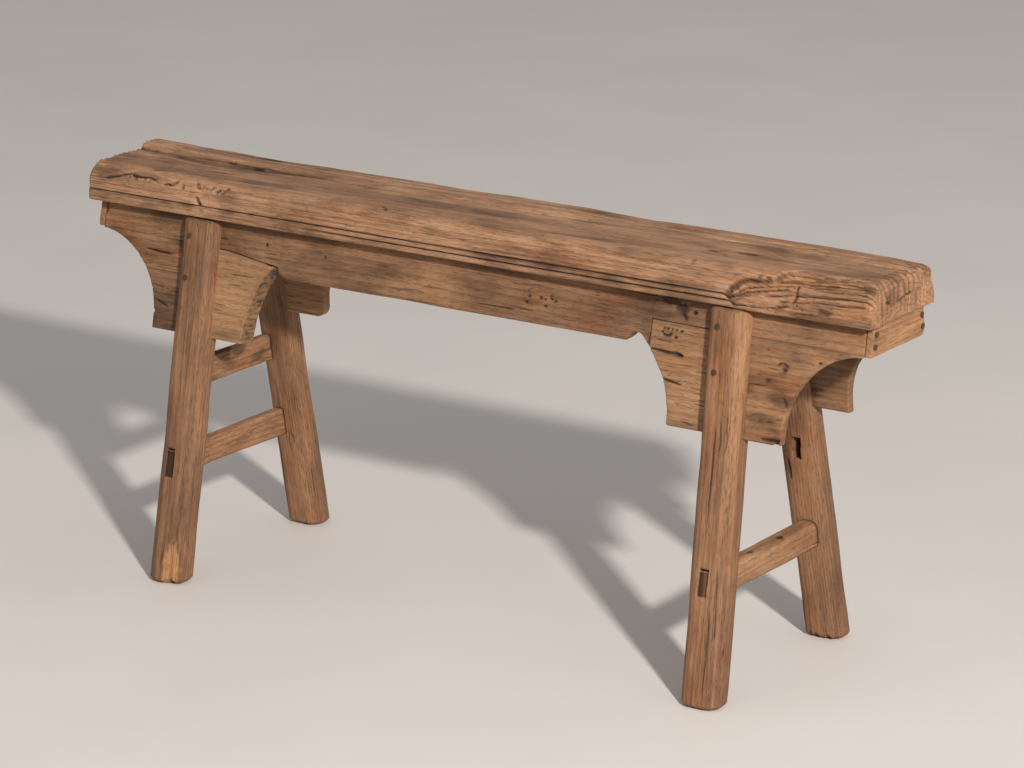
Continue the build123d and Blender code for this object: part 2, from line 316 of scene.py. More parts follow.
# %% Shader helpers
class Value:
    """A number in a material. Adding, taking away, multiplying and so on make Math nodes."""

    def __init__(self, recipe, socket):
        self.recipe = recipe
        self.socket = socket

    def sum(self, operation, *terms):
        """The result of one Math node."""
        return self.recipe.add("Math", {"operation": operation}, dict(enumerate(terms)))

    def __add__(self, other):
        return self.sum("ADD", self, other)

    def __sub__(self, other):
        return self.sum("SUBTRACT", self, other)

    def __rsub__(self, other):
        return self.sum("SUBTRACT", other, self)

    def __mul__(self, other):
        return self.sum("MULTIPLY", self, other)

    def __truediv__(self, other):
        return self.sum("DIVIDE", self, other)

    __radd__ = __add__
    __rmul__ = __mul__


class Recipe:
    """One material and its nodes."""

    def __init__(self, name):
        self.material = bpy.data.materials.new(name)
        self.material.use_nodes = True
        self.tree = self.material.node_tree
        self.tree.nodes.clear()

    def add(self, kind, settings=None, sockets=None, output=0):
        """A node of a kind. Its settings come first, then its sockets' values or links."""
        node = self.tree.nodes.new("ShaderNode" + kind)
        for name, value in (settings or {}).items():
            if name == "stops":
                self.set_stops(node.color_ramp, value)
            else:
                setattr(node, name, value)
        for name, value in (sockets or {}).items():
            if isinstance(value, Value):
                self.tree.links.new(value.socket, node.inputs[name])
            else:
                node.inputs[name].default_value = value
        return Value(self, node.outputs[output]) if len(node.outputs) else node

    def set_stops(self, ramp, stops):
        """The ramp's first two stops are there already, and new ones sort themselves by place."""
        for number, (place, colour) in enumerate(stops):
            element = ramp.elements.new(place) if number > 1 else ramp.elements[number]
            element.position = place
            element.color = (*colour, 1)

    def stretched(self, vector, scale, shift=(0, 0, 0)):
        """A vector whose axes are scaled, and then moved."""
        return self.add("Mapping", {}, {0: vector, "Location": shift, "Scale": scale})

    def noise(self, vector, scale, shift=(0, 0, 0), detail=2.0, roughness=0.5, warp=0.0):
        """Noise on a stretched vector, from 0 to 1."""
        sockets = {
            "Vector": self.stretched(vector, scale, shift),
            "Scale": 1.0,
            "Detail": detail,
            "Roughness": roughness,
            "Distortion": warp,
        }
        return self.add("TexNoise", {}, sockets)

    def mask(self, value, low, high):
        """0 at low, 1 at high and a smooth rise between. High may be the smaller."""
        sockets = {"Value": value, "From Min": low, "From Max": high}
        return self.add("MapRange", {"interpolation_type": "SMOOTHSTEP"}, sockets)

    def blend(self, factor, one, two, kind="MIX"):
        """One colour over another, by a factor."""
        settings = {"data_type": "RGBA", "blend_type": kind}
        return self.add("Mix", settings, {0: factor, 6: one, 7: two}, output=2)


def srgb(red, green, blue, alpha=1):
    """Screen colour numbers from 0 to 255 as the linear ones that a material takes."""
    c = np.array([red, green, blue]) / 255
    linear = np.where(c <= 0.04045, c / 12.92, ((c + 0.055) / 1.055) ** 2.4)
    return (*linear.tolist(), alpha)


# %% [markdown]
# ## Old elm
# Elm has strong growth rings, open pores that show as short dark dashes, and a warm brown that goes
# grey-brown with age and handling. We work out the rings as the real ones are: rounds about a
# wandering pith, cut by the board. So the same sum gives straight stripes on an edge, arches on a
# flat face, and arcs on the end grain. Small checks open along the grain, dirt sits in the
# hollows, and new breaks are orange. An image texture would be quicker, but it would repeat and
# would not follow a piece's own grain.

# %% Wood material
RING_TONE = 0.07


def old_wood(name, colours, ring_width, stain, red, streaky=1.0, knotty=1.0, wander=0.035):
    """A weathered wood in three colours, from its pale early wood to its deep stains.

    A streaky wood shows its fibres, and one that is less so shows cloudy stains instead. The
    attributes come from the piece: where it is in the grain, how dark from dirt and from painted
    shade, and how freshly broken.
    """
    pale, middle, deep = colours
    r = Recipe(name)
    grain = r.add("Attribute", {"attribute_name": "grain"}, {}, output=1)
    dirt_and_shade = r.add("Attribute", {"attribute_name": "dirt_and_shade"}, {}, output=2)
    fresh = r.add("Attribute", {"attribute_name": "fresh"}, {}, output=2)

    slow_sockets = {"Vector": r.stretched(grain, (1.4, 5, 5)), "Scale": 1.0, "Detail": 1.5}
    slow = r.add("TexNoise", {}, slow_sockets, output=1)
    bend = r.add("VectorMath", {"operation": "MULTIPLY"}, {0: slow, 1: (0.0, wander, wander)})
    bent = r.add("VectorMath", {"operation": "ADD"}, {0: grain, 1: bend})
    section = r.add("VectorMath", {"operation": "MULTIPLY"}, {0: bent, 1: (0.0, 1.0, 1.0)})
    pith = r.add("VectorMath", {"operation": "LENGTH"}, {0: section}, output=1)
    uneven_ring = pith / ring_width + r.noise(grain, (20, 300, 300)) * 0.3
    ring = r.add("Math", {"operation": "FRACT"}, {0: uneven_ring})
    late = r.mask(ring, 0.35, 0.95) * r.mask(ring, 1.0, 0.93)

    fibre = r.noise(grain, (45, 1500, 1500), detail=3.0, roughness=0.7)
    streak = r.noise(grain, (11, 380, 380), (3, 1, 4), detail=4.0, roughness=0.68)
    band = r.noise(grain, (4, 120, 120), (6, 3, 1), detail=2.0)
    blotch = r.noise(grain, (6, 14, 14), (7, 2, 1), detail=4.0, roughness=0.6)
    patch = r.noise(grain, (11, 34, 34), (1, 9, 5), detail=3.0)
    pore = r.mask(r.noise(grain, (90, 1500, 1500), (5, 5, 2), detail=1.0), 0.60, 0.70)
    check_line = r.noise(grain, (1.6, 120, 120), (2, 8, 8), detail=0.0)
    off_middle = r.add("Math", {"operation": "ABSOLUTE"}, {0: check_line - 0.5})
    check = r.mask(off_middle, 0.009, 0.002)
    check = check * r.mask(r.noise(grain, (16, 60, 60), (3, 3, 6), detail=1.0), 0.58, 0.64)

    knots = {"feature": "F1"}
    knot_place = r.stretched(grain, (8, 21, 21), (0.4, 0.2, 0.7))
    knot_far = r.add("TexVoronoi", knots, {"Vector": knot_place, "Scale": 1.0, "Randomness": 1.0})
    knot_kind = r.add("TexVoronoi", knots, {"Vector": knot_place, "Scale": 1.0}, output=1)
    chosen = r.mask(r.add("SeparateColor", {}, {0: knot_kind}), 0.72, 0.76) * knotty
    knot = r.mask(knot_far, 0.16, 0.09) * chosen
    knot_halo = r.mask(knot_far, 0.42, 0.12) * chosen

    tone = 0.42 * streaky * streak + (0.32 + 0.42 * (1 - streaky)) * blotch
    tone = tone + 0.30 * fibre + 0.16 * band + RING_TONE * (0.7 - late)
    stops = [(0.0, deep[:3]), (1.0, pale[:3]), (0.5, middle[:3])]
    colour = r.add("ValToRGB", {"stops": stops}, {0: r.mask(tone, 0.36, 0.86)})
    smudge = r.noise(grain, (9, 21, 21), (4, 7, 7), detail=5.0, roughness=0.62, warp=0.4)
    colour = r.blend(r.mask(smudge, 0.50, 0.68) * red, colour, (0.86, 0.55, 0.34, 1), "MULTIPLY")
    colour = r.blend(r.mask(patch, 0.50, 0.72) * stain, colour, (0.46, 0.43, 0.41, 1), "MULTIPLY")
    colour = r.blend(knot_halo * 0.45, colour, (0.50, 0.36, 0.27, 1), "MULTIPLY")
    colour = r.blend(knot * 0.85, colour, srgb(58, 38, 27), "MIX")
    raw_stops = [(0.3, srgb(140, 88, 50)[:3]), (0.8, srgb(205, 158, 108)[:3])]
    raw = r.add("ValToRGB", {"stops": raw_stops}, {0: streak})
    colour = r.blend(fresh, colour, raw)
    colour = r.blend(pore * 0.55, colour, (0.42, 0.36, 0.32, 1), "MULTIPLY")
    colour = r.blend(check * 0.8, colour, (0.16, 0.12, 0.10, 1), "MULTIPLY")
    # The dark mix carries dirt and painted shade. The painted shade is on the upper left stretcher, the left
    # end board's front edge, the sunk tenon ends and the gaps above them, and the torn edge of the broken
    # corner.
    grime_and_shade = r.mask(dirt_and_shade + 0.35 * (patch - 0.5), 0.05, 0.95)
    colour = r.blend(grime_and_shade, colour, srgb(38, 24, 17), "MIX")

    rough = 0.60 + 0.22 * (fibre - 0.5) + 0.10 * streak + 0.15 * grime_and_shade
    height = 0.7 * fibre + 0.9 * streaky * streak + 0.3 * band + 0.25 * RING_TONE * (1 - late)
    height = height - 0.7 * pore - 1.6 * check - 0.5 * knot
    bump = r.add("Bump", {}, {"Strength": 0.75, "Distance": 0.0011, "Height": height})
    shader_sockets = {"Base Color": colour, "Roughness": rough, "Normal": bump, "Specular IOR Level": 0.35}
    shader = r.add("BsdfPrincipled", {}, shader_sockets)
    r.add("OutputMaterial", {}, {"Surface": shader})
    return r.material


seat_browns = (srgb(194, 150, 113), srgb(152, 113, 84), srgb(86, 60, 44))
apron_browns = (srgb(160, 120, 85), srgb(124, 90, 64), srgb(82, 60, 45))
pale_browns = (srgb(176, 137, 99), srgb(144, 107, 76), srgb(106, 78, 56))
leg_browns = (srgb(162, 119, 83), srgb(126, 90, 63), srgb(78, 54, 39))
bar_browns = (srgb(180, 136, 98), srgb(144, 106, 76), srgb(98, 69, 48))
end_browns = (srgb(182, 136, 96), srgb(148, 107, 73), srgb(104, 71, 48))
seat_wood = old_wood("seat_wood", seat_browns, 0.0060, 0.75, 0.35, streaky=0.8, wander=0.03)
apron_wood = old_wood("apron_wood", apron_browns, 0.0085, 0.65, 0.50, streaky=0.35, knotty=0.4)
pale_wood = old_wood("pale_wood", pale_browns, 0.0090, 0.45, 0.35, streaky=0.35, knotty=0.0)
leg_wood = old_wood("leg_wood", leg_browns, 0.0034, 0.45, 0.50, streaky=0.6, knotty=0.5, wander=0.015)
bar_wood = old_wood("bar_wood", bar_browns, 0.0060, 0.45, 0.35, streaky=0.6, knotty=0.5)
end_wood = old_wood("end_wood", end_browns, 0.0070, 0.45, 0.40, streaky=0.5, knotty=0.3)
print("woods:", len(bpy.data.materials))

# %% [markdown]
# ## From stick to piece
# The points and quads go into a mesh in two large writes, which is far quicker than adding vertices
# one at a time. The three attributes go with them. Each piece then rides on the root body, and the
# imported node it stands for is hidden.


def finish_piece(name, stick, material, slot, *nodes):
    """The stick as a Blender object, in the place where its points already are."""
    mesh = bpy.data.meshes.new(name)
    mesh.vertices.add(len(stick.points))
    mesh.vertices.foreach_set("co", stick.points.astype(np.float32).ravel())
    mesh.loops.add(stick.quads.size)
    mesh.loops.foreach_set("vertex_index", stick.quads.astype(np.int32).ravel())
    mesh.polygons.add(len(stick.quads))
    mesh.polygons.foreach_set("loop_start", np.arange(0, stick.quads.size, 4, dtype=np.int32))
    mesh.polygons.foreach_set("use_smooth", np.ones(len(stick.quads), bool))
    grain = mesh.attributes.new("grain", "FLOAT_VECTOR", "POINT")
    grain.data.foreach_set("vector", stick.grain.astype(np.float32).ravel())
    for title, values in (("dirt_and_shade", stick.dirt_and_shade), ("fresh", stick.fresh)):
        layer = mesh.attributes.new(title, "FLOAT", "POINT")
        layer.data.foreach_set("value", np.clip(values, 0, 1).astype(np.float32))
    mesh.update(calc_edges=True)
    mesh.materials.append(material)
    piece = bpy.data.objects.new(name, mesh)
    bpy.context.collection.objects.link(piece)
    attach(piece, "root")
    if nodes:
        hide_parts(*nodes)
    return piece


# %% [markdown]
# ## The seat
# The seat is one thick plank, worn ridged and lumpy. A long crack runs down its top, and the strip
# behind the crack has sprung up at the left end. Two thin grooves run along each edge. The front
# corner at the right end is broken away, and the end grain has opened in deep fissures. A bought
# plank shape would have none of that, so the top is a height worked out at every point.

# %% Seat sizes
seat_low, seat_high = [np.array(corner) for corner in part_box("seat_plank")]
UNDERSIDE = seat_low[2]
FRONT_FACE = seat_low[1]
SPRUNG_RISE = 0.007
SEAT_TOP = seat_high[2] - SPRUNG_RISE
seat_size = np.array([*(seat_high - seat_low)[:2], SEAT_TOP - UNDERSIDE])
GROOVES = UNDERSIDE + np.array([0.015, 0.008])
GROOVE_WIDTH = 0.0016
BREAK_START = 0.370
print("seat:", np.round(seat_size, 4), "underside at", round(float(UNDERSIDE), 4))


def crack_line(x):
    """How far behind the middle the long crack runs, at each place along the seat."""
    along = [-0.557, -0.48, -0.40, -0.31, -0.20, -0.14, -0.06, 0.0, 0.06, 0.14, 0.25, 0.40, 0.557]
    back = [0.024, 0.018, 0.024, 0.021, 0.014, 0.010, 0.019, 0.016, 0.013, 0.021, 0.024, 0.030, 0.033]
    wiggle = noise(at(x * 60, 0, 0) + 20, 3) - 0.5
    return np.interp(x, along, back) + 0.003 * wiggle


# %% [markdown]
# A crack that crosses a grid slantwise gets saw teeth. So the long crack and the fissures of the
# ends run on grid columns of their own, and the columns are bent instead. The grid is also finer at
# the two ends and along the front, where the wear is, and coarse in the plain middle.

# %% Seat grid
CRACK_COLUMN = 0.020
FISSURE_HALF = 0.0022
END_GAP, MIDDLE_GAP, BREAK_GAP = 0.0023, 0.0060, 0.0016
FRONT_GAP, TOP_GAP = 0.0015, 0.0026
rng = np.random.default_rng(71)
fissures = -0.0690 + np.cumsum(rng.uniform(0.0072, 0.0115, 14))
fissures = fissures[np.abs(fissures - CRACK_COLUMN) > 0.0045]
fissure_columns = (fissures[:, None] + FISSURE_HALF * np.array([-1, -0.4, 0.4, 1])).ravel()
crack_columns = CRACK_COLUMN + np.array([-0.0026, -0.0014, -0.0006, 0.0, 0.0006, 0.0014, 0.0026])
columns = (np.concatenate([crack_columns, fissure_columns]) - seat_low[1]) / seat_size[1]
groove_edges = np.concatenate([GROOVES - 0.5 * GROOVE_WIDTH, GROOVES + 0.5 * GROOVE_WIDTH])
groove_rows = np.concatenate([groove_edges - 0.0001, groove_edges + 0.0003])
rows = (groove_rows - UNDERSIDE) / seat_size[2]
x_stops = (np.array([seat_low[0], -0.28, 0.36, seat_high[0]]) - seat_low[0]) / seat_size[0]
along_places = zoned(x_stops, np.array([END_GAP, MIDDLE_GAP, BREAK_GAP]) / seat_size[0])
across_places = zoned([0, 0.16, 1], np.array([FRONT_GAP, TOP_GAP]) / seat_size[1], *columns)
through_places = spaced(0, 1, 0.0016 / seat_size[2], *rows)
unit, quads = block_skin(along_places, across_places, through_places)
seat_block = seat_low + unit * seat_size
print("seat triangles:", 2 * len(quads))

# %% Seat blank
front = step(0.3, 0.0, unit[:, 1])
top_side = unit[:, 2] > 0.5
upper = step(0.25, 0.7, unit[:, 2])
left_part = step(-0.25, -0.50, seat_block[:, 0])
right_end = step(0.40, 0.55, seat_block[:, 0])
uneven = layered(seat_block * (14, 0, 0) + 5, 40) - 0.4
arris = 0.010 + 0.006 * uneven * front + 0.004 * left_part * front + 0.003 * right_end
at_end = 0.0018 + 0.010 * right_end * upper
at_side = 0.002 + upper * arris * (1.3 + 0.9 * front)
at_top = 0.002 + upper * (arris * (1 + 0.35 * front) - 0.002)
points = soften(seat_block, seat_low, seat_low + seat_size, at(at_end, at_side, at_top))

near_crack = step(0.055, 0.0, np.abs(seat_block[:, 1] - CRACK_COLUMN))
points[:, 1] += (crack_line(points[:, 0]) - CRACK_COLUMN) * near_crack * top_side
corner_cut = step(0.500, 0.5575, points[:, 0]) * step(0.040, 0.077, points[:, 1])
points[:, 1] -= 0.003 * corner_cut**2
near_end = step(0.490, 0.545, np.abs(points[:, 0])) * step(0.077, 0.068, np.abs(points[:, 1]))
points[:, 1] += 0.0055 * (noise(points * (45, 50, 55), 72) - 0.5) * near_end
seat = Stick(points, quads, points + (0.3, 0.0, -0.35), 11)
print("unworn seat box:", np.round(points.min(0), 4), np.round(points.max(0), 4))

# %% [markdown]
# The seat's wear is a sum of small heights. Furrows follow the grain and deepen towards the ends.
# The sprung strip lifts behind the crack. The broken corner sinks below a jagged line, with layers
# of torn fibre in it. Each height also leaves its dirt or its fresh wood. Furrows, strip, crack and
# grooves are all worked out from the unworn points, so that one doesn't shift another.

# %% Furrows and hollows
def furrow_seat(seat, blank):
    """Long furrows and narrow ones along the grain, with worn hollows, more on the rough parts."""
    x, y, _ = blank.T
    top = step(0.5, 0.9, seat.normals[:, 2])
    face = step(0.5, 0.9, -seat.normals[:, 1])
    furrow = layered(blank * (7, 85, 60) + 3, 21)
    narrow = layered(blank * (16, 330, 260) + 8, 25)
    hollow = noise(blank * (11, 22, 10) + 1, 29)
    rough_ends = np.maximum(step(-0.15, -0.45, x), step(0.1, 0.35, x) * step(-0.04, 0.0, y))
    rough = np.maximum(0.35 + 0.65 * rough_ends, 0.8 * step(0.0, 0.02, y - crack_line(x)))
    deep_furrow = step(0.50, 0.78, furrow)
    depth = top * rough * (0.0016 * deep_furrow + 0.0011 * step(0.45, 0.8, narrow))
    depth += 0.0012 * step(0.45, 0.9, hollow) * top
    depth += face * (0.0005 * deep_furrow + 0.0004 * narrow)
    depth += (1 - top) * (1 - face) * 0.0006 * narrow
    used = 1 - 0.6 * step(0.10, 0.40, x)
    seat.dirt_and_shade += 0.42 * used * top * rough * deep_furrow + 0.22 * face * deep_furrow
    seat.dirt_and_shade += 0.30 * used * top * rough * step(0.58, 0.85, narrow)
    seat.push_in(depth)


# %% Sprung strip and long crack
def spring_strip(seat, blank):
    """The strip behind the crack rises to the left, and the crack opens in front of it."""
    x, y, z = blank.T
    top = step(0.5, 0.9, seat.normals[:, 2])
    behind = y - crack_line(x)
    lift = np.interp(x, [-0.5575, -0.40, 0.10, 0.1925], [SPRUNG_RISE, 0.0035, 0.0030, 0.0])
    hump = step(-0.0005, 0.012, behind) * (1 - 0.45 * step(0.052, 0.074, y))
    seat.points[:, 2] += top_side * step(0.47, 0.49, z) * lift * hump * 0.97

    along = [-0.557, -0.45, -0.30, -0.05, 0.30, 0.45, 0.557]
    open_millimetres = np.interp(x, along, [2.4, 1.8, 1.5, 0.8, 1.0, 0.7, 0.3])
    in_crack = near_line(behind, 0.001 * open_millimetres) * step(0.484, 0.490, z)
    seat.points[:, 2] -= 0.0075 * in_crack * step(0.0, 0.6, open_millimetres)
    seat.dirt_and_shade = np.maximum(seat.dirt_and_shade, np.sqrt(in_crack))
    seat.dirt_and_shade += 0.35 * step(0.012, 0.0, np.abs(behind)) * top * step(0.2, -0.3, x)


# %% Edge grooves
def scratch_grooves(seat, blank):
    """Two scratched lines along each edge. The lower one has worn off at the left end."""
    x, y, z = blank.T
    torn_away = step(BREAK_START + 0.002, BREAK_START + 0.012, x) * (y < 0)
    for groove in GROOVES:
        edge = 0.5 * GROOVE_WIDTH
        in_groove = step(edge + 0.0002, edge - 0.0001, np.abs(z - groove))
        shown = 1.0 if groove > GROOVES.min() else step(-0.30, -0.10, x)
        on_side = step(0.6, 0.9, np.abs(seat.normals[:, 1]))
        in_groove = in_groove * on_side * shown * (1 - torn_away)
        seat.points[:, 1] -= 0.0016 * in_groove * np.sign(seat.normals[:, 1])
        seat.dirt_and_shade = np.maximum(seat.dirt_and_shade, 0.62 * in_groove)
    face = step(0.5, 0.9, -seat.normals[:, 1])
    band = face * step(GROOVES.max() + 0.001, GROOVES.max() - 0.001, z)
    seat.dirt_and_shade += 0.24 * band * (1 - torn_away)
    grey = layered(blank * (30, 60, 60) + 6, 33)
    seat.dirt_and_shade += 0.30 * step(0.45, 0.75, grey) * step(-0.050, -0.070, y)


seat_blank = seat.points
for wear in (furrow_seat, spring_strip, scratch_grooves):
    wear(seat, seat_blank)
print("dirtiest seat point:", round(float(seat.dirt_and_shade.max()), 2))

# %% [markdown]
# The broken corner gets a map of its own: how far along, and how far up the face and then in over
# the top. On that map the break has a jagged upper outline and a lower one, and the torn fibres fan
# out from its tip. Noise alone would be simpler, but torn fibres run in a direction.

# %% Map of the break
def map_break(seat):
    """Each point's place on the break.

    up is how far up the face, and then in over the top, a point is. share runs from 0 at the lower
    outline to 1 at a smooth line near the upper one, so lines of equal share fan out from the tip.
    """
    x, y, z = seat.points.T
    up = z - UNDERSIDE + np.clip(y - FRONT_FACE, 0, 0.045)
    jag = 0.007 * (noise(at(x * 45, 0, 0), 51) - 0.5)
    jag += 0.0025 * (noise(at(x * 95, up * 90, 0), 52) - 0.5)
    upper_along = [BREAK_START, 0.377, 0.390, 0.427, 0.440, 0.452, 0.508, 0.535, 0.5575]
    upper = np.interp(x, upper_along, [0.015, 0.024, 0.033, 0.042, 0.060, 0.075, 0.075, 0.067, 0.061])
    lower_along = [BREAK_START, 0.376, 0.382, 0.423, 0.461, 0.5575]
    lower = np.interp(x, lower_along, [0.015, 0.010, 0.0035, 0.0020, 0.0045, 0.0070])
    upper = upper + jag
    lower = lower - 0.3 * jag
    fan_top = np.interp(x, [BREAK_START, 0.395, 0.45, 0.5575], [0.016, 0.038, 0.055, 0.062])
    tall = np.maximum(fan_top - lower, 0.001)
    in_front = y < -0.02
    between = step(-0.0004, 0.0022, upper - up) * step(-0.0004, 0.0022, up - lower)
    inside = between * step(BREAK_START - 0.001, BREAK_START + 0.0015, x) * in_front
    share = (up - lower) / tall
    return SimpleNamespace(
        x=x, up=up, jag=jag, upper=upper, tall=tall, share=share, inside=inside, in_front=in_front
    )


# %% Flakes and splits
def flake_depth(place):
    """How deep each point of the break has sunk, in ledges, and how much of a flake it is."""
    flakes = layered(at(place.x * 15, place.share * 4.5, 0) + 9, 58)
    ledge = np.floor(flakes * 8 + 0.3 * step(0.3, 0.7, flakes * 8 % 1)) / 8
    fibre = layered(at(place.x * 24, place.share * 26, 0) + 4, 55)
    sunk = 0.0010 + 0.0115 * ledge + 0.0010 * fibre
    sunk *= np.interp(place.x, [0.37, 0.40, 0.49, 0.52, 0.5575], [0.8, 1.2, 1.0, 0.7, 0.4])
    return sunk, flakes


def splits_along(place):
    """Dark splits that follow lines of equal share, open here and there.

    They are a seventh apart, and the last two lie past share 1, nearer the jagged outline.
    """
    split = np.zeros(len(place.x))
    for number in range(9):
        wander = 0.05 * (noise(at(place.x * 24, 0, 0) + number, 60) - 0.5)
        open_here = step(0.42, 0.60, noise(at(place.x * 17, 0, 0) + 3 * number, 61))
        off_line = (place.share - (number + 0.5) / 7 - wander) * place.tall
        split = np.maximum(split, near_line(off_line, 0.0018) * open_here)
    return split


# %% Outline and cross breaks
def dark_outline(place):
    """The shadowed edge of the break, strongest round its tip."""
    tip_up = [0.0035, 0.010, 0.015, 0.024, 0.033]
    tip_edge = np.interp(place.up, tip_up, [0.382, 0.376, BREAK_START, 0.377, 0.390])
    fade = np.interp(place.x, [0.37, 0.435, 0.47, 0.5575], [1, 1, 0.55, 0.3])
    over = near_line(place.upper - place.up, 0.0030) * fade
    tip = near_line(place.x - tip_edge, 0.0026)
    tip = tip * step(0.034, 0.030, place.up) * step(0.0, 0.004, place.up)
    uneven = 0.75 + 0.25 * noise(at(place.x * 60, place.up * 60, 0), 63)
    started = step(BREAK_START - 0.003, BREAK_START, place.x) * place.in_front
    return np.maximum(over, tip) * uneven * started


def cross_breaks(place):
    """Two lines where the fibres have snapped across: a bright one, and a dark one beside it."""
    bright_at = np.interp(place.up, [0.0135, 0.0196, 0.0305, 0.0448], [0.4545, 0.4500, 0.4543, 0.4555])
    dark_at = np.interp(place.up, [0.0154, 0.0201, 0.0311, 0.0443], [0.4660, 0.4540, 0.4585, 0.4616])
    shown = step(0.012, 0.016, place.up) * step(0.050, 0.044, place.up) * place.inside
    bright = near_line(place.x - bright_at - 0.5 * place.jag, 0.0026) * shown
    dark = near_line(place.x - dark_at - 0.5 * place.jag, 0.0022) * shown
    return bright, dark


# %% Break the corner
def break_corner(seat):
    """The torn corner: inside its outline the wood has split off in long flakes."""
    place = map_break(seat)
    inside = place.inside
    sunk, flakes = flake_depth(place)
    split = splits_along(place)
    outline = dark_outline(place)
    bright, dark = cross_breaks(place)
    slope = np.array([0.0, -0.72, 0.70])
    outward = np.maximum(step(0.2, 0.8, seat.normals @ slope), 0.55)
    depth = inside * (sunk + 0.0030 * split) + 0.0045 * outline + 0.0012 * bright + 0.0030 * dark
    crumbs = noise(at(place.x * 170, place.up * 210, 0), 66)
    blotches = layered(at(place.x * 42, place.share * 5, 0), 67)
    crumbled = step(0.6, 0.35, crumbs)

    seat.points -= (depth * outward)[:, None] * slope
    above = step(0.014, 0.002, place.up - place.upper) * (place.up > place.upper)
    shag = above * step(0.383, 0.39, place.x) * step(0.437, 0.425, place.x)
    shag = shag * (seat.points[:, 1] < -0.02)
    golden = inside * (0.10 + 2.2 * np.clip(flakes - 0.47, 0, 0.4))
    for fresh in (golden, 0.95 * bright, 0.7 * shag * step(0.55, 0.75, crumbs)):
        seat.fresh = np.maximum(seat.fresh, fresh)
    seat.push_in(0.0022 * shag * crumbled)
    seat.dirt_and_shade = seat.dirt_and_shade * (1 - inside)
    blotched = inside * 0.55 * step(0.50, 0.72, blotches)
    # The outline's dark is painted shadow along the torn upper edge and round the tip.
    for dirt_and_shade in (blotched, 0.7 * shag * crumbled, 0.95 * outline, inside * split):
        seat.dirt_and_shade = np.maximum(seat.dirt_and_shade, dirt_and_shade)
    seat.dirt_and_shade = np.maximum(seat.dirt_and_shade * (1 - bright), dark)


# %% Fissures in the ends
def open_end_grain(seat, end, strength, seed):
    """Fissures in an end: narrow troughs on their own grid columns, fading in from the end."""
    x, _, z = seat.points.T
    column = seat_block[:, 1]
    from_end = seat_size[0] / 2 - end * x
    rng = np.random.default_rng(seed)
    total = np.zeros(len(x))
    for place in fissures:
        reach = rng.uniform(0.018, 0.060)
        deep = rng.uniform(0.55, 1.0)
        foot = UNDERSIDE + rng.uniform(-0.005, 0.022)
        trough = step(FISSURE_HALF, 0.4 * FISSURE_HALF, np.abs(column - place))
        line = trough * step(reach, 0.35 * reach, from_end)
        total = np.maximum(total, line * deep * step(foot, foot + 0.008, z))
    at_end = step(0.006, 0.001, from_end)
    layers = layered(at(0, column * 150, z * 30) + 2, seed + 40)
    seat.push_in(strength * (0.0095 * total + 0.0008 * at_end * layers))
    cloud = layered(at(x * 20, column * 190, z * 30), seed + 44)
    shade = 0.30 * step(0.05, 0.0, from_end) * cloud
    seat.dirt_and_shade = np.maximum(seat.dirt_and_shade, strength * np.maximum(step(0.02, 0.35, total), shade))
    seat.fresh = np.maximum(seat.fresh, 0.30 * at_end * step(0.6, 0.3, layers))


break_corner(seat)
open_end_grain(seat, 1, 1.0, 71)
open_end_grain(seat, -1, 0.35, 90)
print("fissures at each end:", len(fissures))

# %% [markdown]
# Last come the single marks: two checks across the right end, a split that runs in from the left
# one and breaks up into crumbled pits along the edge, a few hollows and knocks, and fine cracks
# scattered over the top. Each finds its place on the skin as the one before has left it.

# %% Seat marks
def on_front(x, z):
    """A point on the worn front of the seat: the skin point nearest to a place along and a height."""
    faces_away = seat.normals[:, 1] > -0.15
    far = np.hypot(seat.points[:, 0] - x, seat.points[:, 2] - z) + 1.0 * faces_away
    return np.array([x, seat.points[far.argmin(), 1], z])


seat.slit((0.5575, -0.044, 0.477), (0.5575, -0.028, 0.473), 0.0022, 0.005)
seat.slit((0.5575, -0.028, 0.473), (0.5575, 0.030, 0.477), 0.0018, 0.003, wander=0.003)
seat.slit(on_front(-0.557, 0.479), on_front(-0.522, 0.484), 0.0025, 0.0035, wander=0.002)
seat.slit(on_front(-0.530, 0.483), on_front(-0.492, 0.4925), 0.0028, 0.0040, wander=0.003)
seat.slit(on_front(-0.500, 0.4915), on_front(-0.455, 0.4905), 0.0024, 0.0035, wander=0.004)
seat.slit((-0.480, -0.060, 0.500), (-0.385, -0.048, 0.500), 0.0026, 0.003, wander=0.006)
seat.slit((-0.430, -0.030, 0.500), (-0.350, -0.025, 0.500), 0.0026, 0.002, wander=0.006)
seat.slit((-0.114, -0.060, 0.500), (-0.098, -0.073, 0.498), 0.0030, 0.003)
seat.slit((0.327, -0.060, 0.499), (0.321, -0.076, 0.4865), 0.0042, 0.004)
seat.pit((-0.405, 0.024, 0.498), (0.020, 0.006, 0.010), 0.003, dirt_and_shade=0.95)
seat.pit((-0.360, 0.018, 0.498), (0.014, 0.005, 0.010), 0.003, dirt_and_shade=0.9)
seat.pit((0.366, -0.012, 0.500), (0.024, 0.007, 0.010), 0.0014, dirt_and_shade=0.7)
seat.slit(on_front(-0.385, 0.479), on_front(-0.381, 0.468), 0.0038, 0.0030, dirt_and_shade=0.8)
seat.pit(on_front(-0.381, 0.4695), (0.0050, 0.004, 0.0030), 0.0020, dirt_and_shade=0.8)

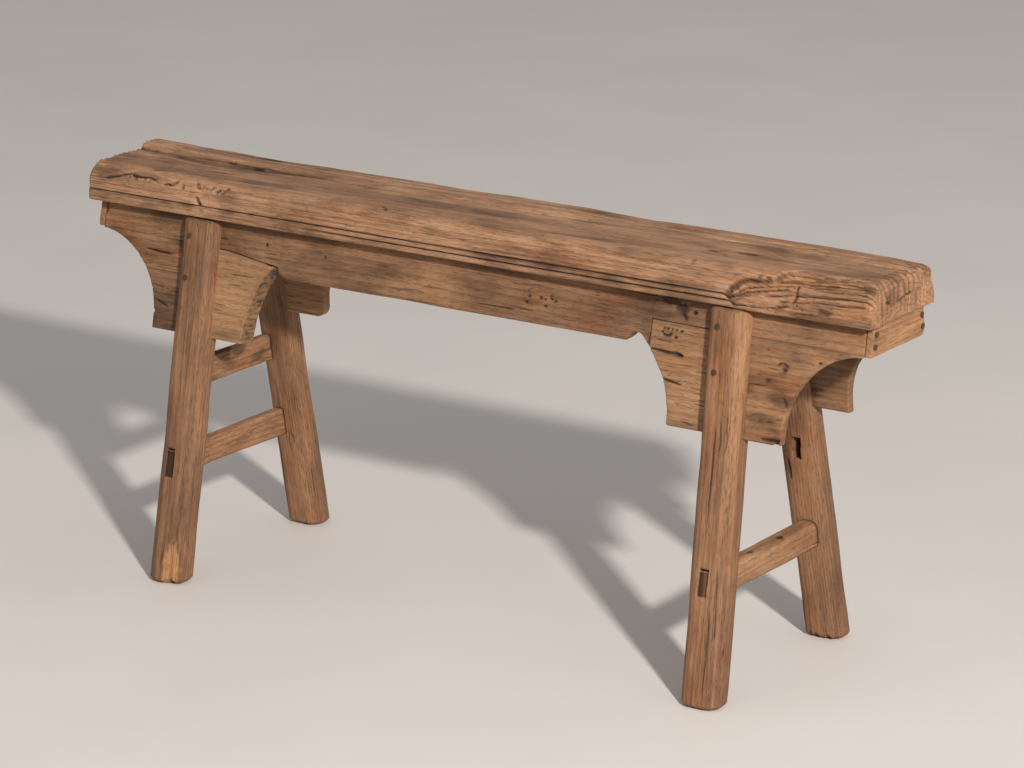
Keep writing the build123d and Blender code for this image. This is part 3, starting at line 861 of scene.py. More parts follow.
# %% Pits and fine cracks
rng = np.random.default_rng(5)
for number in range(38):
    x = rng.uniform(-0.495, -0.320)
    place = on_front(x, 0.4895 + rng.normal(0, 0.0018))
    size = rng.uniform((0.0020, 0.003, 0.0016), (0.0052, 0.005, 0.0030))
    seat.pit(place, size, 0.0024, dirt_and_shade=rng.uniform(0.4, 0.9), ragged=0.7)
    if number % 3 == 0:
        seat.pit(place + (0.006, 0.0, 0.003), 1.6 * size, 0.0004, dirt_and_shade=0.0, fresh=0.55)
for x in rng.uniform(0.238, 0.288, 7):
    seat.slit(on_front(x, 0.4915), on_front(x + 0.009, 0.4885), 0.0022, 0.0008, dirt_and_shade=0.45, fresh=0.4)
for place in rng.uniform((-0.5, -0.070, 0.5), (0.5, 0.07, 0.5), (26, 3)):
    run = (rng.uniform(0.02, 0.07), rng.uniform(-0.004, 0.004), 0)
    seat.slit(place, place + run, 0.0013, 0.0014, dirt_and_shade=0.8, wander=0.006)
finish_piece("worn_seat", seat, seat_wood, "seat_wood", "seat_plank")
print("seat box:", np.round(seat.points.min(0), 4), np.round(seat.points.max(0), 4))

# %% [markdown]
# ## Legs
# Each leg is a stout square stick with well rounded corners that leans out and runs from the floor
# to the seat. It was shaped by hand, so its section is never quite the same twice. Lower stretchers
# come right through the lower mortises, whose recesses need crisp edges: the grid gets double
# lines there, a fraction of a millimetre apart, and the points between them are pushed in.

# %% Leg sizes
LEG_WIDE = 0.052
LEG_DEEP = 0.042
LEG_CORNER = 0.017


def lean_of(node):
    """The centres of a leg's foot and top, from its packed box, and which way it faces.

    It leans from one corner of the box to the other.
    """
    low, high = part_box(node)
    out = -1 if low.y < 0 else 1
    top_x = low.x + LEG_WIDE / 2
    foot_x = high.x - LEG_WIDE / 2
    far_y = max(-low.y, high.y) - LEG_DEEP / 2
    near_y = min(abs(low.y), abs(high.y)) + LEG_DEEP / 2
    return np.array([foot_x, out * far_y, 0]), np.array([top_x, out * near_y, UNDERSIDE]), out


def leg_stick(node, seed, holes):
    """A rounded section carried up the leaning line.

    Holes are (on the outer face?, x, half width, low edge, high edge, depth, darkness). The darkness is
    painted shade on the sunk tenon ends and in the gaps above them, and darkens the empty mortises inside.
    """
    foot, top, out = lean_of(node)
    edge = 0.00015
    z_lines = [z + d for hole in holes for z in hole[3:5] for d in (-edge, edge)]
    x_lines = []
    for hole in holes:
        middle = (hole[3] + hole[4]) / 2
        centre = foot[0] + (top[0] - foot[0]) * middle / UNDERSIDE
        sides = [hole[1] + sign * hole[2] - centre for sign in (-1, 1)]
        x_lines += [0.5 + (x + d) / LEG_WIDE for x in sides for d in (-edge, edge)]
    along = spaced(0, 1, 0.0030 / UNDERSIDE, *[z / UNDERSIDE for z in z_lines])
    across = spaced(0, 1, 0.0013 / LEG_WIDE, *x_lines)
    through = spaced(0, 1, 0.0014 / LEG_DEEP)
    unit, quads = block_skin(along, across, through)
    size = np.array([UNDERSIDE, LEG_WIDE, LEG_DEEP])
    radius = np.broadcast_to(np.array([0.0060, LEG_CORNER, LEG_CORNER]), unit.shape)
    block = soften(unit * size, np.zeros(3), size, radius)
    high = block[:, :1] / UNDERSIDE
    line = foot + (top - foot) * high
    x = line[:, 0] + block[:, 1] - LEG_WIDE / 2
    y = line[:, 1] + out * (block[:, 2] - LEG_DEEP / 2)
    grain = block + np.array([0.1 * seed, 0.004 * (seed % 7) - 0.02, 0.013])
    stick = Stick(np.stack([x, y, block[:, 0]], 1), quads, grain, seed)
    hewn = layered(at(high[:, 0] * 5, unit[:, 1] * 2, unit[:, 2] * 2) + seed, seed + 3)
    away_from_ends = step(0.0, 0.02, high[:, 0])
    for outer, hole_x, half, low, top_z, depth, dirt_and_shade in holes:
        in_width = np.abs(stick.points[:, 0] - hole_x) < half
        in_height = np.abs(stick.points[:, 2] - (low + top_z) / 2) < (top_z - low) / 2
        on_face = unit[:, 2] > 0.999 if outer else unit[:, 2] < 0.001
        inside = in_width & in_height & on_face
        stick.points[inside, 1] -= out * depth * (1 if outer else -1)
        # Painted shade on the sunk tenon ends and in the gaps above them; the empty mortises are darkened
        # inside.
        stick.dirt_and_shade[inside] = dirt_and_shade
    stick.push_in(0.0011 * step(0.35, 0.8, hewn) * away_from_ends)
    return stick


# %% [markdown]
# A mortise is given by the face it opens in, its middle, half its width, its low and high edge, how
# deep it looks and how dark it is. The dark on the sunk tenon ends and in the gaps above them is
# painted shade. The blind ones held an upper stretcher that is long gone.

# %% Shape the legs
RIGHT_MORTISE_X = 0.384
LEFT_MORTISE_X = -0.3886
EMPTY_MORTISE_X = 0.3832
right_through = [
    (True, RIGHT_MORTISE_X, 0.006, 0.1270, 0.1548, 0.0026, 0.62),
    (True, RIGHT_MORTISE_X, 0.006, 0.1552, 0.1588, 0.0110, 1.0),
]
left_through = [
    (True, LEFT_MORTISE_X, 0.0065, 0.1320, 0.1638, 0.0030, 0.75),
    (True, LEFT_MORTISE_X, 0.0065, 0.1642, 0.1675, 0.0110, 1.0),
]
empty = [(False, EMPTY_MORTISE_X, 0.005, 0.2355, 0.2635, 0.0180, 1.0)]
legs = {
    "front_left_leg": leg_stick("front_left_leg", 101, left_through),
    "rear_left_leg": leg_stick("rear_left_leg", 108, left_through),
    "front_right_leg": leg_stick("front_right_leg", 117, right_through + empty),
    "rear_right_leg": leg_stick("rear_right_leg", 123, right_through + empty),
}


def on_leg(node, height, sideways, face):
    """A point on a leg's outer (1) or inner (-1) face, sideways from its centre line.

    Past the flat of the face it follows the round corner: r - sqrt(r^2 - over^2).
    """
    foot, top, out = lean_of(node)
    centre = foot + (top - foot) * height / UNDERSIDE
    over = max(0.0, abs(sideways) - (LEG_WIDE / 2 - LEG_CORNER))
    recess = LEG_CORNER - math.sqrt(LEG_CORNER**2 - over**2)
    return centre + np.array([sideways, out * face * (LEG_DEEP / 2 - recess), 0])


for node, stick in legs.items():
    stick.weather(0.0006, 0.0003, 0.22)
    rng = np.random.default_rng(stick.seed)
    for number in range(12):
        height = rng.uniform(0.02, 0.34)
        sideways = rng.uniform(-0.014, 0.014)
        reach = rng.uniform(0.03, 0.10)
        face = 1 if number % 2 else -1
        start = on_leg(node, height, sideways, face)
        end = on_leg(node, height + reach, sideways + rng.uniform(-0.002, 0.002), face)
        stick.slit(start, end, 0.0013, 0.0011, dirt_and_shade=0.7, wander=0.004)

leg_marks = {
    "front_left_leg": [
        ("pit", 1, [(0.028, 0.013)], (0.014, 0.012, 0.042), 0.0040, 0.05, 1.0),
        ("pit", 1, [(0.010, 0.006)], (0.007, 0.010, 0.026), 0.0020, 0.05, 0.9),
        ("slit", 1, [(0.004, 0.012), (0.055, 0.017)], 0.0030, 0.0060),
        ("slit", 1, [(0.000, 0.006), (0.040, 0.012)], 0.0018, 0.0030),
        ("pit", 1, [(0.000, 0.010)], (0.005, 0.016, 0.009), 0.0090, 0.7),
    ],
    "rear_left_leg": [
        ("slit", -1, [(0.000, -0.018), (0.170, -0.0225)], 0.0028, 0.0050),
        ("slit", -1, [(0.060, -0.017), (0.150, -0.019)], 0.0016, 0.0025),
    ],
    "rear_right_leg": [
        ("slit", -1, [(0.000, -0.020), (0.085, -0.0225)], 0.0028, 0.0050),
        ("slit", -1, [(0.207, -0.012), (0.236, -0.013)], 0.0030, 0.0040),
        ("pit", -1, [(0.000, -0.014)], (0.004, 0.012, 0.007), 0.0060, 0.7),
        ("pit", -1, [(0.000, -0.005)], (0.005, 0.012, 0.005), 0.0050, 0.6),
        ("pit", -1, [(0.000, 0.010)], (0.004, 0.012, 0.007), 0.0060, 0.7),
        ("pit", -1, [(0.000, 0.018)], (0.004, 0.010, 0.005), 0.0050, 0.6),
    ],
    "front_right_leg": [
        ("slit", 1, [(0.200, -0.003), (0.330, -0.001)], 0.0014, 0.0018),
        ("slit", 1, [(0.010, 0.008), (0.120, 0.009)], 0.0013, 0.0015),
    ],
}
for node, marks in leg_marks.items():
    for kind, face, places, *how in marks:
        spots = [on_leg(node, height, sideways, face) for height, sideways in places]
        legs[node].mark(kind, spots, *how)
for node, stick in legs.items():
    finish_piece(node + "_hewn", stick, leg_wood, "leg_wood", node)
print("legs:", {node: len(stick.quads) for node, stick in legs.items()})

# %% [markdown]
# ## Leaning boards
# Aprons and spandrels stand in one leaning plane on each side. A board here is ruled between two
# edge curves, and its thickness goes inwards. Its outer face leans with the legs, so we only need
# its outline in length and height. Ruling between two edges keeps the grid lines running along
# the grain, where an outline filled by triangles would have none.

# %% Leaning plane
BOARD_THICK = 0.013
HIDDEN_CORNER = 0.00005
TIGHT_CORNER = 0.0005
WORN_CORNER = 0.0016
leg_foot, leg_top, _ = lean_of("rear_left_leg")
SPLAY = (leg_foot[1] - leg_top[1]) / UNDERSIDE
APRON_OUTER_Y = leg_top[1] + LEG_DEEP / 2 - 0.0185


def lean(points, out):
    """Length, thickness inwards from the outer face, and height, stood up in the leaning plane."""
    length, inward, height = points.T
    y = APRON_OUTER_Y + SPLAY * (UNDERSIDE - height) - inward
    return np.stack([length, out * y, height], 1)


def ruled_board(first_edge, second_edge, u, v, w, out, corner_of, family):
    """A board between two edge curves: (1 - v) * first(u) + v * second(u), given as (length, height).

    u runs along the edges, v from one to the other, and w through the thickness. corner_of gives
    the corner radius at each point: an edge stays sharp where it meets another board, and is worn
    round elsewhere. Boards of one family share their grain, as if sawn from one plank.
    """
    unit, quads = block_skin(u, v, w)
    one = first_edge(unit[:, 0])
    two = second_edge(unit[:, 0])
    span = np.linalg.norm(two - one, axis=1)
    size = np.array([0.1, 0.1, BOARD_THICK])
    corner = corner_of(unit, one)
    radius = np.stack([corner, corner * 0.1 / np.maximum(span, 0.02), corner], 1)
    soft = soften(unit * size, np.zeros(3), size, radius) / size
    one = first_edge(soft[:, 0])
    two = second_edge(soft[:, 0])
    outline = one + (two - one) * soft[:, 1:2]
    flat = np.stack([outline[:, 0], soft[:, 2] * BOARD_THICK, outline[:, 1]], 1)
    sawn_from = np.array([0.13 * family, 0.0, 0.011 * (family % 5)])
    grain = flat[:, [0, 2, 1]] + sawn_from
    stick = Stick(lean(flat, out), quads, grain, family)
    stick.unit = unit
    return stick


# %% Aprons
_, apron_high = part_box("rear_apron")
APRON_END = apron_high.x
CUSP = 0.2675
FLAT_END = 0.248
LOW_EDGE = UNDERSIDE - 0.062
END_LOW = UNDERSIDE - 0.0335
JOINTS = {-1: (UNDERSIDE - 0.0485, UNDERSIDE - 0.039), 1: (UNDERSIDE - 0.032, UNDERSIDE - 0.033)}
KNEE = 0.3425


def apron_low_edge(u, worn_cusp=False):
    """The apron's lower edge: straight in the middle, a round up to each cusp, then the joint line.

    The worn cusp, at the front on the right, has lost its hollow: the edge humps up beside it and
    comes down again to the spandrel's arc.
    """
    x = APRON_END * (2 * u - 1)
    far = np.abs(x)
    rise = np.clip((far - FLAT_END) / (CUSP - FLAT_END), 0, 1)
    z = LOW_EDGE + 0.012 * (1 - np.sqrt(np.clip(1 - rise**2, 0, 1)))
    if worn_cusp:
        up = step(0.234, 0.2505, x)
        down = step(0.2505, CUSP + 0.004, x)
        z = np.where(x > 0, LOW_EDGE + 0.011 * up - 0.014 * down, z)
    for sign in (-1, 1):
        cusp_z, knee_z = JOINTS[sign]
        joint = np.interp(far, [CUSP, KNEE, APRON_END], [cusp_z, knee_z, END_LOW])
        z = np.where((far > CUSP) & (x * sign > 0), joint, z)
    return np.stack([x, z], 1)


def apron_top_edge(u):
    """The apron's top edge: straight, along the underside of the seat."""
    return np.stack([APRON_END * (2 * u - 1), np.full(len(u), UNDERSIDE)], 1)


def worn_low_edge(u):
    """The front apron's lower edge, with its one worn cusp."""
    return apron_low_edge(u, worn_cusp=True)


def apron_corner(unit, low_edge):
    """The corner radius: sharp where the apron sits on a spandrel, and sharper on the outer ones."""
    far = np.abs(low_edge[:, 0])
    on_joint = (unit[:, 1] < 0.5) & (far > CUSP)
    return np.where(on_joint, np.where(far > 0.38, HIDDEN_CORNER, TIGHT_CORNER), WORN_CORNER)


cusps = [0.5 + sign * (CUSP + d) / APRON_END / 2 for sign in (-1, 1) for d in (-0.0001, 0.0002)]
aprons = {}
for out, side in ((-1, "front"), (1, "rear")):
    u = spaced(0, 1, 0.0024 / (2 * APRON_END), *cusps)
    v = spaced(0, 1, 0.0013 / 0.062)
    w = spaced(0, 1, 0.0022 / BOARD_THICK)
    low_edge = worn_low_edge if out < 0 else apron_low_edge
    aprons[side] = ruled_board(low_edge, apron_top_edge, u, v, w, out, apron_corner, 140 + out)
    aprons[side].weather(0.0006, 0.00025, 0.18)
    aprons[side].stain(0.30, 0.022, 150 + out)


def on_board(x, z, out=-1):
    """A point on the outer face of the boards."""
    return lean(np.array([[x, 0.0, z]]), out)[0]


board = aprons["front"]
rng = np.random.default_rng(17)
board.pit(on_board(0.117, 0.421), (0.020, 0.010, 0.009), 0.0003, dirt_and_shade=0.0, fresh=0.30)
for number in range(11):
    place = on_board(0.117 + rng.normal(0, 0.010), 0.421 + rng.normal(0, 0.0035))
    board.pit(place, (rng.uniform(0.0018, 0.004), 0.006, rng.uniform(0.0015, 0.003)), 0.0022, dirt_and_shade=0.8)
board.pit(on_board(0.243, 0.395), (0.0085, 0.012, 0.0065), 0.0060, dirt_and_shade=0.6, fresh=0.3)
board.pit(on_board(0.290, 0.444), (0.019, 0.010, 0.008), 0.0016, dirt_and_shade=0.62)
board.pit(on_board(0.304, 0.437), (0.012, 0.010, 0.009), 0.0022, dirt_and_shade=0.72)
board.slit(on_board(0.300, 0.440), on_board(0.3135, 0.4235), 0.0040, 0.0030, dirt_and_shade=0.95)
board.pit(on_board(0.322, 0.434), (0.0035, 0.006, 0.0025), 0.0030, dirt_and_shade=1.0)
board.pit(on_board(-0.288, 0.428), (0.0026, 0.004, 0.0030), 0.003, dirt_and_shade=1.0, ragged=0)
board.pit(on_board(-0.200, 0.425), (0.0022, 0.004, 0.0022), 0.002, dirt_and_shade=0.9, ragged=0)
for side, out in (("front", -1), ("rear", 1)):
    rng = np.random.default_rng(31 + out)
    for number in range(10):
        x = rng.uniform(-0.52, 0.45)
        z = rng.uniform(0.398, 0.446)
        reach = rng.uniform(0.02, 0.06)
        drop = rng.uniform(-0.001, 0.001)
        start = on_board(x, z, out)
        end = on_board(x + reach, z + drop, out)
        aprons[side].slit(start, end, 0.0012, 0.0012, dirt_and_shade=0.75, wander=0.003)
    finish_piece(side + "_apron_board", aprons[side], apron_wood, "apron_wood", side + "_apron")
print("apron:", round(2 * APRON_END, 3), "m long,", len(board.quads), "quads")

# %% [markdown]
# ## Spandrels
# The brackets under the apron have a deep quarter-round brow outside each leg and a shallow arc
# inside it. Each is ruled from the butt line, in the middle of the leg, to its arc. The arc starts
# upright and ends at the tip, so its radius and centre follow from those two points.

# %% Spandrel shapes
SPANDREL_TALL = 0.149
FOOT_Z = UNDERSIDE - SPANDREL_TALL


def arc_edge(foot, straight, tip, blunt):
    """Straight up from the foot, then an arc that starts upright, and upright again past the tip."""
    start = np.array([foot[0], foot[1] + straight])
    dx = tip[0] - start[0]
    dz = tip[1] - start[1]
    radius = (dx * dx + dz * dz) / (2 * dx)
    turn = math.atan2(dz / abs(radius), 1 - dx / radius)
    arc_length = abs(radius) * turn
    total = straight + arc_length + blunt

    def edge(u):
        """Points at shares u of the whole length."""
        walked = u * total
        angle = turn * np.clip((walked - straight) / arc_length, 0, 1)
        x = start[0] + radius * (1 - np.cos(angle))
        z = foot[1] + np.minimum(walked, straight) + abs(radius) * np.sin(angle)
        return np.stack([x, z + np.clip(walked - straight - arc_length, 0, blunt)], 1)

    return edge


def butt_edge(x, top_z):
    """The straight line in the middle of the leg, from the foot to the joint."""

    def edge(u):
        """Points at shares u of the line."""
        return np.stack([np.full(len(u), x), FOOT_Z + (top_z - FOOT_Z) * u], 1)

    return edge


def mid_leg(sign):
    """Where along the bench a leg's middle is, at half the height of the spandrels."""
    foot, top, _ = lean_of("rear_left_leg" if sign < 0 else "rear_right_leg")
    height = UNDERSIDE - SPANDREL_TALL / 2
    return foot[0] + (top[0] - foot[0]) * height / UNDERSIDE


def outer_corner(unit, butt):
    """The corner radius of an outer spandrel: sharp at its top, where the apron sits on it."""
    return np.where(unit[:, 0] > 0.5, HIDDEN_CORNER, WORN_CORNER)


def inner_corner(unit, butt):
    """The corner radius of an inner spandrel: its joint shows, so its top is a little softer."""
    return np.where(unit[:, 0] > 0.5, TIGHT_CORNER, WORN_CORNER)


def spandrel(sign, outer, out, seed):
    """One bracket: its blank is ruled from butt to arc, and its top is lifted to the joint line."""
    cusp_z, knee_z = JOINTS[sign]
    x = mid_leg(sign)
    top_z = float(np.interp(abs(x), [KNEE, APRON_END], [knee_z, END_LOW]))
    tip_z = LOW_EDGE - 0.003 if (sign > 0 and out < 0) else LOW_EDGE + 0.010
    if outer:
        foot = (sign * (APRON_END - 0.091), FOOT_Z)
        edge = arc_edge(foot, 0.015, (sign * APRON_END, END_LOW - 0.0025), 0.0025)
    else:
        edge = arc_edge((sign * 0.301, FOOT_Z), 0.0, (sign * CUSP, tip_z), cusp_z - tip_z)
    u = spaced(0, 1, 0.0012 / 0.115)
    v = spaced(0, 1, 0.0020 / 0.10)
    w = spaced(0, 1, 0.0022 / BOARD_THICK)
    family = 140 + out if outer else seed
    corner_of = outer_corner if outer else inner_corner
    stick = ruled_board(butt_edge(x, top_z), edge, u, v, w, out, corner_of, family)
    far = np.abs(stick.points[:, 0])
    joint_line = np.interp(far, [CUSP, KNEE, APRON_END], [cusp_z, knee_z, END_LOW])
    tip = (APRON_END, END_LOW) if outer else (CUSP, cusp_z)
    near, distant = sorted([tip, (abs(x), top_z)])
    ruled_top = np.interp(far, [near[0], distant[0]], [near[1], distant[1]])
    stick.points[:, 2] += (joint_line - ruled_top) * step(0.3, 1.0, stick.unit[:, 0])
    if not outer:
        worn = 0.015 if (sign < 0 and out > 0) else 0.003
        from_foot = stick.points[:, 2] - FOOT_Z
        below = np.clip(1 - from_foot / worn, 0, 1)
        reach = step(0.345, 0.301, np.abs(stick.points[:, 0]))
        stick.points[:, 0] += sign * worn * reach * (1 - np.sqrt(np.clip(1 - below**2, 0, 1)))
    stick.normals = vertex_normals(stick.points, stick.quads)
    stick.weather(0.0007, 0.0003, 0.2)
    stick.stain(0.48 if outer else 0.16, 0.022, 150 + out if outer else seed)
    if not outer:
        below_joint = joint_line - stick.points[:, 2]
        stick.dirt_and_shade = np.maximum(stick.dirt_and_shade, 0.85 * step(0.0016, 0.0004, below_joint))
    return stick


def bark_edge(stick, sign):
    """The waney edge of a board cut to the bark: rough, dark and flaky along the arc."""
    front = 1 - stick.unit[:, 2]
    stick.points[:, 0] += sign * 0.0100 * front * step(0.80, 1.0, stick.unit[:, 1])
    stick.normals = vertex_normals(stick.points, stick.quads)
    facing = step(0.30, 0.60, -sign * stick.normals[:, 0])
    crumbs = layered(stick.points * 300, 77)
    stick.push_in(0.0007 * facing * step(0.35, 0.75, crumbs))
    outer_rim = step(0.80, 1.0, stick.unit[:, 2])
    stick.dirt_and_shade = np.maximum(stick.dirt_and_shade, facing * (0.46 - 0.25 * outer_rim + 0.26 * step(0.45, 0.70, crumbs)))


# %% Spandrel marks
worm_rng = np.random.default_rng(12)
worm_places = worm_rng.uniform((0.283, 0.402), (0.310, 0.412), (13, 2))
spandrel_marks = {
    "front_left_outer_spandrel": [
        ("slit", [(-0.474, 0.3995), (-0.430, 0.3965)], 0.0020, 0.003),
        ("slit", [(-0.452, 0.340), (-0.430, 0.333)], 0.0018, 0.003),
        ("pit", [(-0.452, 0.325)], (0.003, 0.006, 0.003), 0.002, 0.9),
        ("pit", [(-0.492, 0.371)], (0.0025, 0.006, 0.0025), 0.002, 0.9),
    ],
    "front_right_inner_spandrel": [
        ("slit", [(0.262, 0.387), (0.312, 0.384)], 0.0023, 0.004),
        ("slit", [(0.296, 0.3855), (0.314, 0.3835)], 0.0034, 0.006),
        ("slit", [(0.272, 0.357), (0.318, 0.351)], 0.0021, 0.004),
    ],
    "front_right_outer_spandrel": [
        ("pit", [(0.444, 0.389)], (0.0085, 0.006, 0.0075), 0.0008, 0.25),
        ("pit", [(0.446, 0.388)], (0.0045, 0.006, 0.0040), 0.0016, 0.8),
        ("slit", [(0.436, 0.392), (0.443, 0.396)], 0.0018, 0.002),
        ("slit", [(0.443, 0.396), (0.452, 0.391)], 0.0018, 0.002),
        ("pit", [(0.487, 0.404)], (0.008, 0.006, 0.007), 0.0006, 0.2, 0.5),
        ("pit", [(0.489, 0.402)], (0.0035, 0.006, 0.0030), 0.0016, 0.8),
        ("pit", [(0.427, 0.374)], (0.0050, 0.006, 0.0045), 0.0010, 0.65),
        ("slit", [(0.447, 0.358), (0.455, 0.347)], 0.0024, 0.004),
        ("slit", [(0.454, 0.348), (0.463, 0.344)], 0.0022, 0.003),
        ("slit", [(0.425, 0.3085), (0.455, 0.3095)], 0.0026, 0.005),
        ("pit", [(0.447, 0.3035)], (0.005, 0.010, 0.005), 0.004, 0.7),
    ],
}
spandrel_marks["front_right_inner_spandrel"] += [
    ("pit", [(x, z)], (0.0021, 0.004, 0.0021), 0.0020, 1.0, 0.0, 0.2) for x, z in worm_places
]

# %% Spandrels
seed = 200
for out, side in ((-1, "front"), (1, "rear")):
    for sign, hand in ((-1, "left"), (1, "right")):
        for outer, place in ((True, "outer"), (False, "inner")):
            seed += 7
            stick = spandrel(sign, outer, out, seed)
            rng = np.random.default_rng(seed)
            low = stick.points.min(0)
            high = stick.points.max(0)
            for number in range(7):
                x = rng.uniform(low[0], high[0] - 0.02)
                z = rng.uniform(0.31, 0.40)
                drop = rng.uniform(-0.003, 0.001)
                reach = rng.uniform(0.015, 0.04)
                start = on_board(x, z, out)
                end = on_board(x + reach, z + drop, out)
                stick.slit(start, end, 0.0011, 0.0012, dirt_and_shade=0.8, wander=0.003)
            name = f"{side}_{hand}_{place}_spandrel"
            if name == "front_left_inner_spandrel":
                bark_edge(stick, sign)
            for kind, places, *how in spandrel_marks.get(name, []):
                stick.mark(kind, [on_board(x, z, out) for x, z in places], *how)
            wood = apron_wood if outer else pale_wood
            slot = "apron_wood" if outer else "pale_spandrel_wood"
            finish_piece(name + "_board", stick, wood, slot, name)
print("last spandrel:", len(stick.quads), "quads")

# %% [markdown]
# ## End boards and stretchers
# A thin board closes each end of the aprons, and three bars tie the legs in pairs. They are the
# same kind of block again. The stretchers are rounded by wear, and run on into the legs, which
# hides their ends.

# %% End boards
def crosswise_block(node, gaps, radii):
    """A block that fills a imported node's box, with its length across the bench.

    Its size and points are given as (length, height, thickness), and low is the box's corner.
    """
    low, high = [np.array(corner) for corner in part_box(node)]
    size = (high - low)[[1, 2, 0]]
    unit, quads = block_skin(*[spaced(0, 1, gap / side) for gap, side in zip(gaps, size)])
    radius = np.broadcast_to(np.array(radii), unit.shape)
    return low, size, unit, quads, soften(unit * size, np.zeros(3), size, radius)


for sign, node in ((-1, "left_end_board"), (1, "right_end_board")):
    low, size, unit, quads, block = crosswise_block(node, (0.0022, 0.0013, 0.0020), (0.0013,) * 3)
    high_z = low[2] + block[:, 1]
    half = APRON_OUTER_Y + SPLAY * (UNDERSIDE - high_z)
    y = half * (2 * block[:, 0] / size[0] - 1)
    grain = block + np.array([0.5 * sign, 0.02, 0.01])
    stick = Stick(at(low[0] + block[:, 2], y, high_z), quads, grain, 300 + sign)
    stick.weather(0.0007, 0.0003, 0.25)
    if sign > 0:
        rear = (1 - unit[:, 0]) * size[0]
        below = np.clip(1 - unit[:, 1] * size[1] / 0.014, 0, 1)
        stick.points[:, 1] -= 0.012 * (1 - np.sqrt(1 - below**2)) * step(0.050, 0.0, rear)
        stick.normals = vertex_normals(stick.points, stick.quads)
    else:
        # Painted shade: the left end board is darkened all over, and more where its front edge is ragged,
        # for the shadow on that edge, which sits back behind the apron. The ragged patches are also broken,
        # pushed-in wood.
        ragged = step(0.4, 0.7, layered(stick.points * (60, 70, 120), 88))
        ragged = ragged * step(-0.040, -0.055, stick.points[:, 1])
        stick.push_in(0.0016 * ragged)
        stick.dirt_and_shade = np.maximum(stick.dirt_and_shade, 0.35 + 0.25 * ragged)
    finish_piece(node + "_weathered", stick, end_wood, "end_board_wood", node)
print("end board:", np.round(size, 3), "m")

# %% Stretchers
def stretcher(node, corner, seed):
    """A bar whose ends run on into the two legs, a little short of its packed length."""
    gaps = (0.0024, 0.0013, 0.0013)
    low, size, _, quads, block = crosswise_block(node, gaps, (0.002, corner, corner))
    points = at(low[0] + block[:, 2], low[1] + block[:, 0], low[2] + block[:, 1])
    shrink = 0.5 * LEG_DEEP
    points[:, 1] *= (size[0] - shrink) / size[0]
    stick = Stick(points, quads, block + np.array([0.2 * seed, 0.03, 0.006]), seed)
    hewn = layered(block * (9, 25, 25) + seed, seed + 4)
    stick.push_in(0.0012 * step(0.35, 0.8, hewn))
    stick.weather(0.0007, 0.0003, 0.22)
    inner_face = leg_top[1] - LEG_DEEP / 2 + SPLAY * (UNDERSIDE - points[:, 2])
    stick.dirt_and_shade = np.maximum(stick.dirt_and_shade, 0.75 * step(0.005, 0.0, inner_face - np.abs(points[:, 1])))
    return stick


bars = {
    "upper_left_stretcher": stretcher("upper_left_stretcher", 0.0022, 401),
    "lower_left_stretcher": stretcher("lower_left_stretcher", 0.0022, 408),
    "lower_right_stretcher": stretcher("lower_right_stretcher", 0.009, 415),
}
upper = bars["upper_left_stretcher"]
# Painted shade: the whole upper left stretcher is darkened for the shadow that the spandrels cast on it.
upper.dirt_and_shade += 0.14
upper.stain(0.45, 0.020, 430)
bars["lower_left_stretcher"].stain(0.20, 0.030, 431)
knot_x, knot_y, knot_z = upper.points.max(0)[0], -0.056, 0.258
upper.pit((knot_x, knot_y, knot_z), (0.006, 0.012, 0.008), 0.0015, dirt_and_shade=0.9)
lower = bars["lower_right_stretcher"]
lower.pit((0.394, 0.020, 0.158), (0.006, 0.009, 0.004), 0.0012, dirt_and_shade=0.8)
lower.pit((0.392, -0.045, 0.158), (0.005, 0.012, 0.004), 0.0012, dirt_and_shade=0.7)
for node, stick in bars.items():
    finish_piece(node + "_bar", stick, bar_wood, "stretcher_wood", node)
print("bars:", {node: np.round(np.ptp(stick.points, axis=0), 3).tolist() for node, stick in bars.items()})

# %% [markdown]
# ## Pegs and nails
# The pegs are ends of darker wood, cut off nearly flush, and the nails are small iron heads gone
# dark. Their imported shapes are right, so they stay, and only get their materials.

# %% Pegs and nails
peg_recipe = Recipe("peg_wood")
place = peg_recipe.add("TexCoord", {}, {}, output=3)
speck = peg_recipe.noise(place, (700, 700, 700), detail=3.0)
peg_colour = peg_recipe.blend(speck, srgb(42, 28, 20), srgb(84, 58, 40))
peg_bump = peg_recipe.add("Bump", {}, {"Strength": 0.6, "Distance": 0.0006, "Height": speck})
peg_sockets = {"Base Color": peg_colour, "Roughness": 0.7 + 0.2 * speck, "Normal": peg_bump}
peg_shader = peg_recipe.add("BsdfPrincipled", {}, peg_sockets)
peg_recipe.add("OutputMaterial", {}, {"Surface": peg_shader})

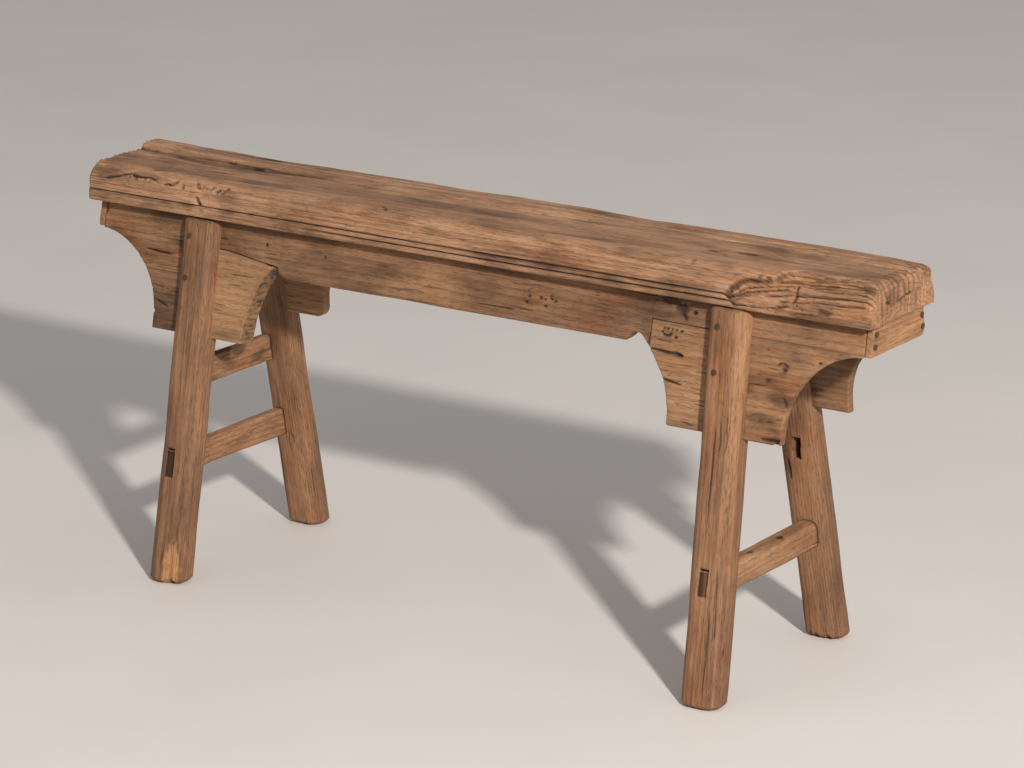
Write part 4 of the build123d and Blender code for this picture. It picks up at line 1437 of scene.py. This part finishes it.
iron_recipe = Recipe("nail_iron")
place = iron_recipe.add("TexCoord", {}, {}, output=3)
rust = iron_recipe.noise(place, (900, 900, 900), detail=4.0)
iron_colour = iron_recipe.blend(rust, srgb(62, 48, 40), srgb(112, 80, 58))
iron_bump = iron_recipe.add("Bump", {}, {"Strength": 0.7, "Distance": 0.0004, "Height": rust})
iron_sockets = {
    "Base Color": iron_colour,
    "Metallic": 0.75 - 0.5 * rust,
    "Roughness": 0.45 + 0.35 * rust,
    "Normal": iron_bump,
}
iron_shader = iron_recipe.add("BsdfPrincipled", {}, iron_sockets)
iron_recipe.add("OutputMaterial", {}, {"Surface": iron_shader})
for node, material in (("leg_pegs", peg_recipe.material), ("end_board_nails", iron_recipe.material)):
    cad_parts[node].data.materials.clear()
    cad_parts[node].data.materials.append(material)

# %% [markdown]
# ## Floor and light
# A pale floor, one soft key from the right and above, and a wide dim sky to fill the shadows.

# %% Floor
floor_mesh = bpy.data.meshes.new("floor")
FLOOR_HALF = 14.0
corners = [(-1, -1), (1, -1), (1, 1), (-1, 1)]
floor_mesh.from_pydata([(FLOOR_HALF * x, FLOOR_HALF * y, 0) for x, y in corners], [], [(0, 1, 2, 3)])
floor = bpy.data.objects.new("floor", floor_mesh)
bpy.context.collection.objects.link(floor)
plaster = Recipe("floor_paint")
cloud = plaster.noise(plaster.add("TexCoord", {}, {}, output=3), (2.5, 2.5, 2.5), detail=5.0)
floor_colour = plaster.blend(cloud, srgb(214, 207, 201), srgb(226, 219, 213))
floor_sockets = {"Base Color": floor_colour, "Roughness": 0.6 + 0.1 * cloud}
floor_shader = plaster.add("BsdfPrincipled", {}, floor_sockets)
plaster.add("OutputMaterial", {}, {"Surface": floor_shader})
floor_mesh.materials.append(plaster.material)

# %% Lights
def soft_light(name, place, target, width, height, power, colour):
    """A rectangle of light that looks at a point."""
    data = bpy.data.lights.new(name, "AREA")
    data.shape = "RECTANGLE"
    data.size = width
    data.size_y = height
    data.energy = power
    data.color = colour
    lamp = bpy.data.objects.new(name, data)
    lamp.location = place
    lamp.rotation_euler = (Vector(target) - Vector(place)).to_track_quat("-Z", "Y").to_euler()
    bpy.context.collection.objects.link(lamp)
    return lamp


soft_light("key", (5.0, -3.9, 3.5), (0, 0, 0.30), 0.32, 0.32, 600, (1.0, 0.96, 0.91))
soft_light("fill", (-0.6, -4.2, 2.6), (0, 0, 0.2), 3.0, 2.0, 6, (0.96, 0.97, 1.0))
world = bpy.data.worlds.new("room")
world.use_nodes = True
world.node_tree.nodes["Background"].inputs["Color"].default_value = (0.95, 0.95, 0.96, 1)
world.node_tree.nodes["Background"].inputs["Strength"].default_value = 0.41
bpy.context.scene.world = world
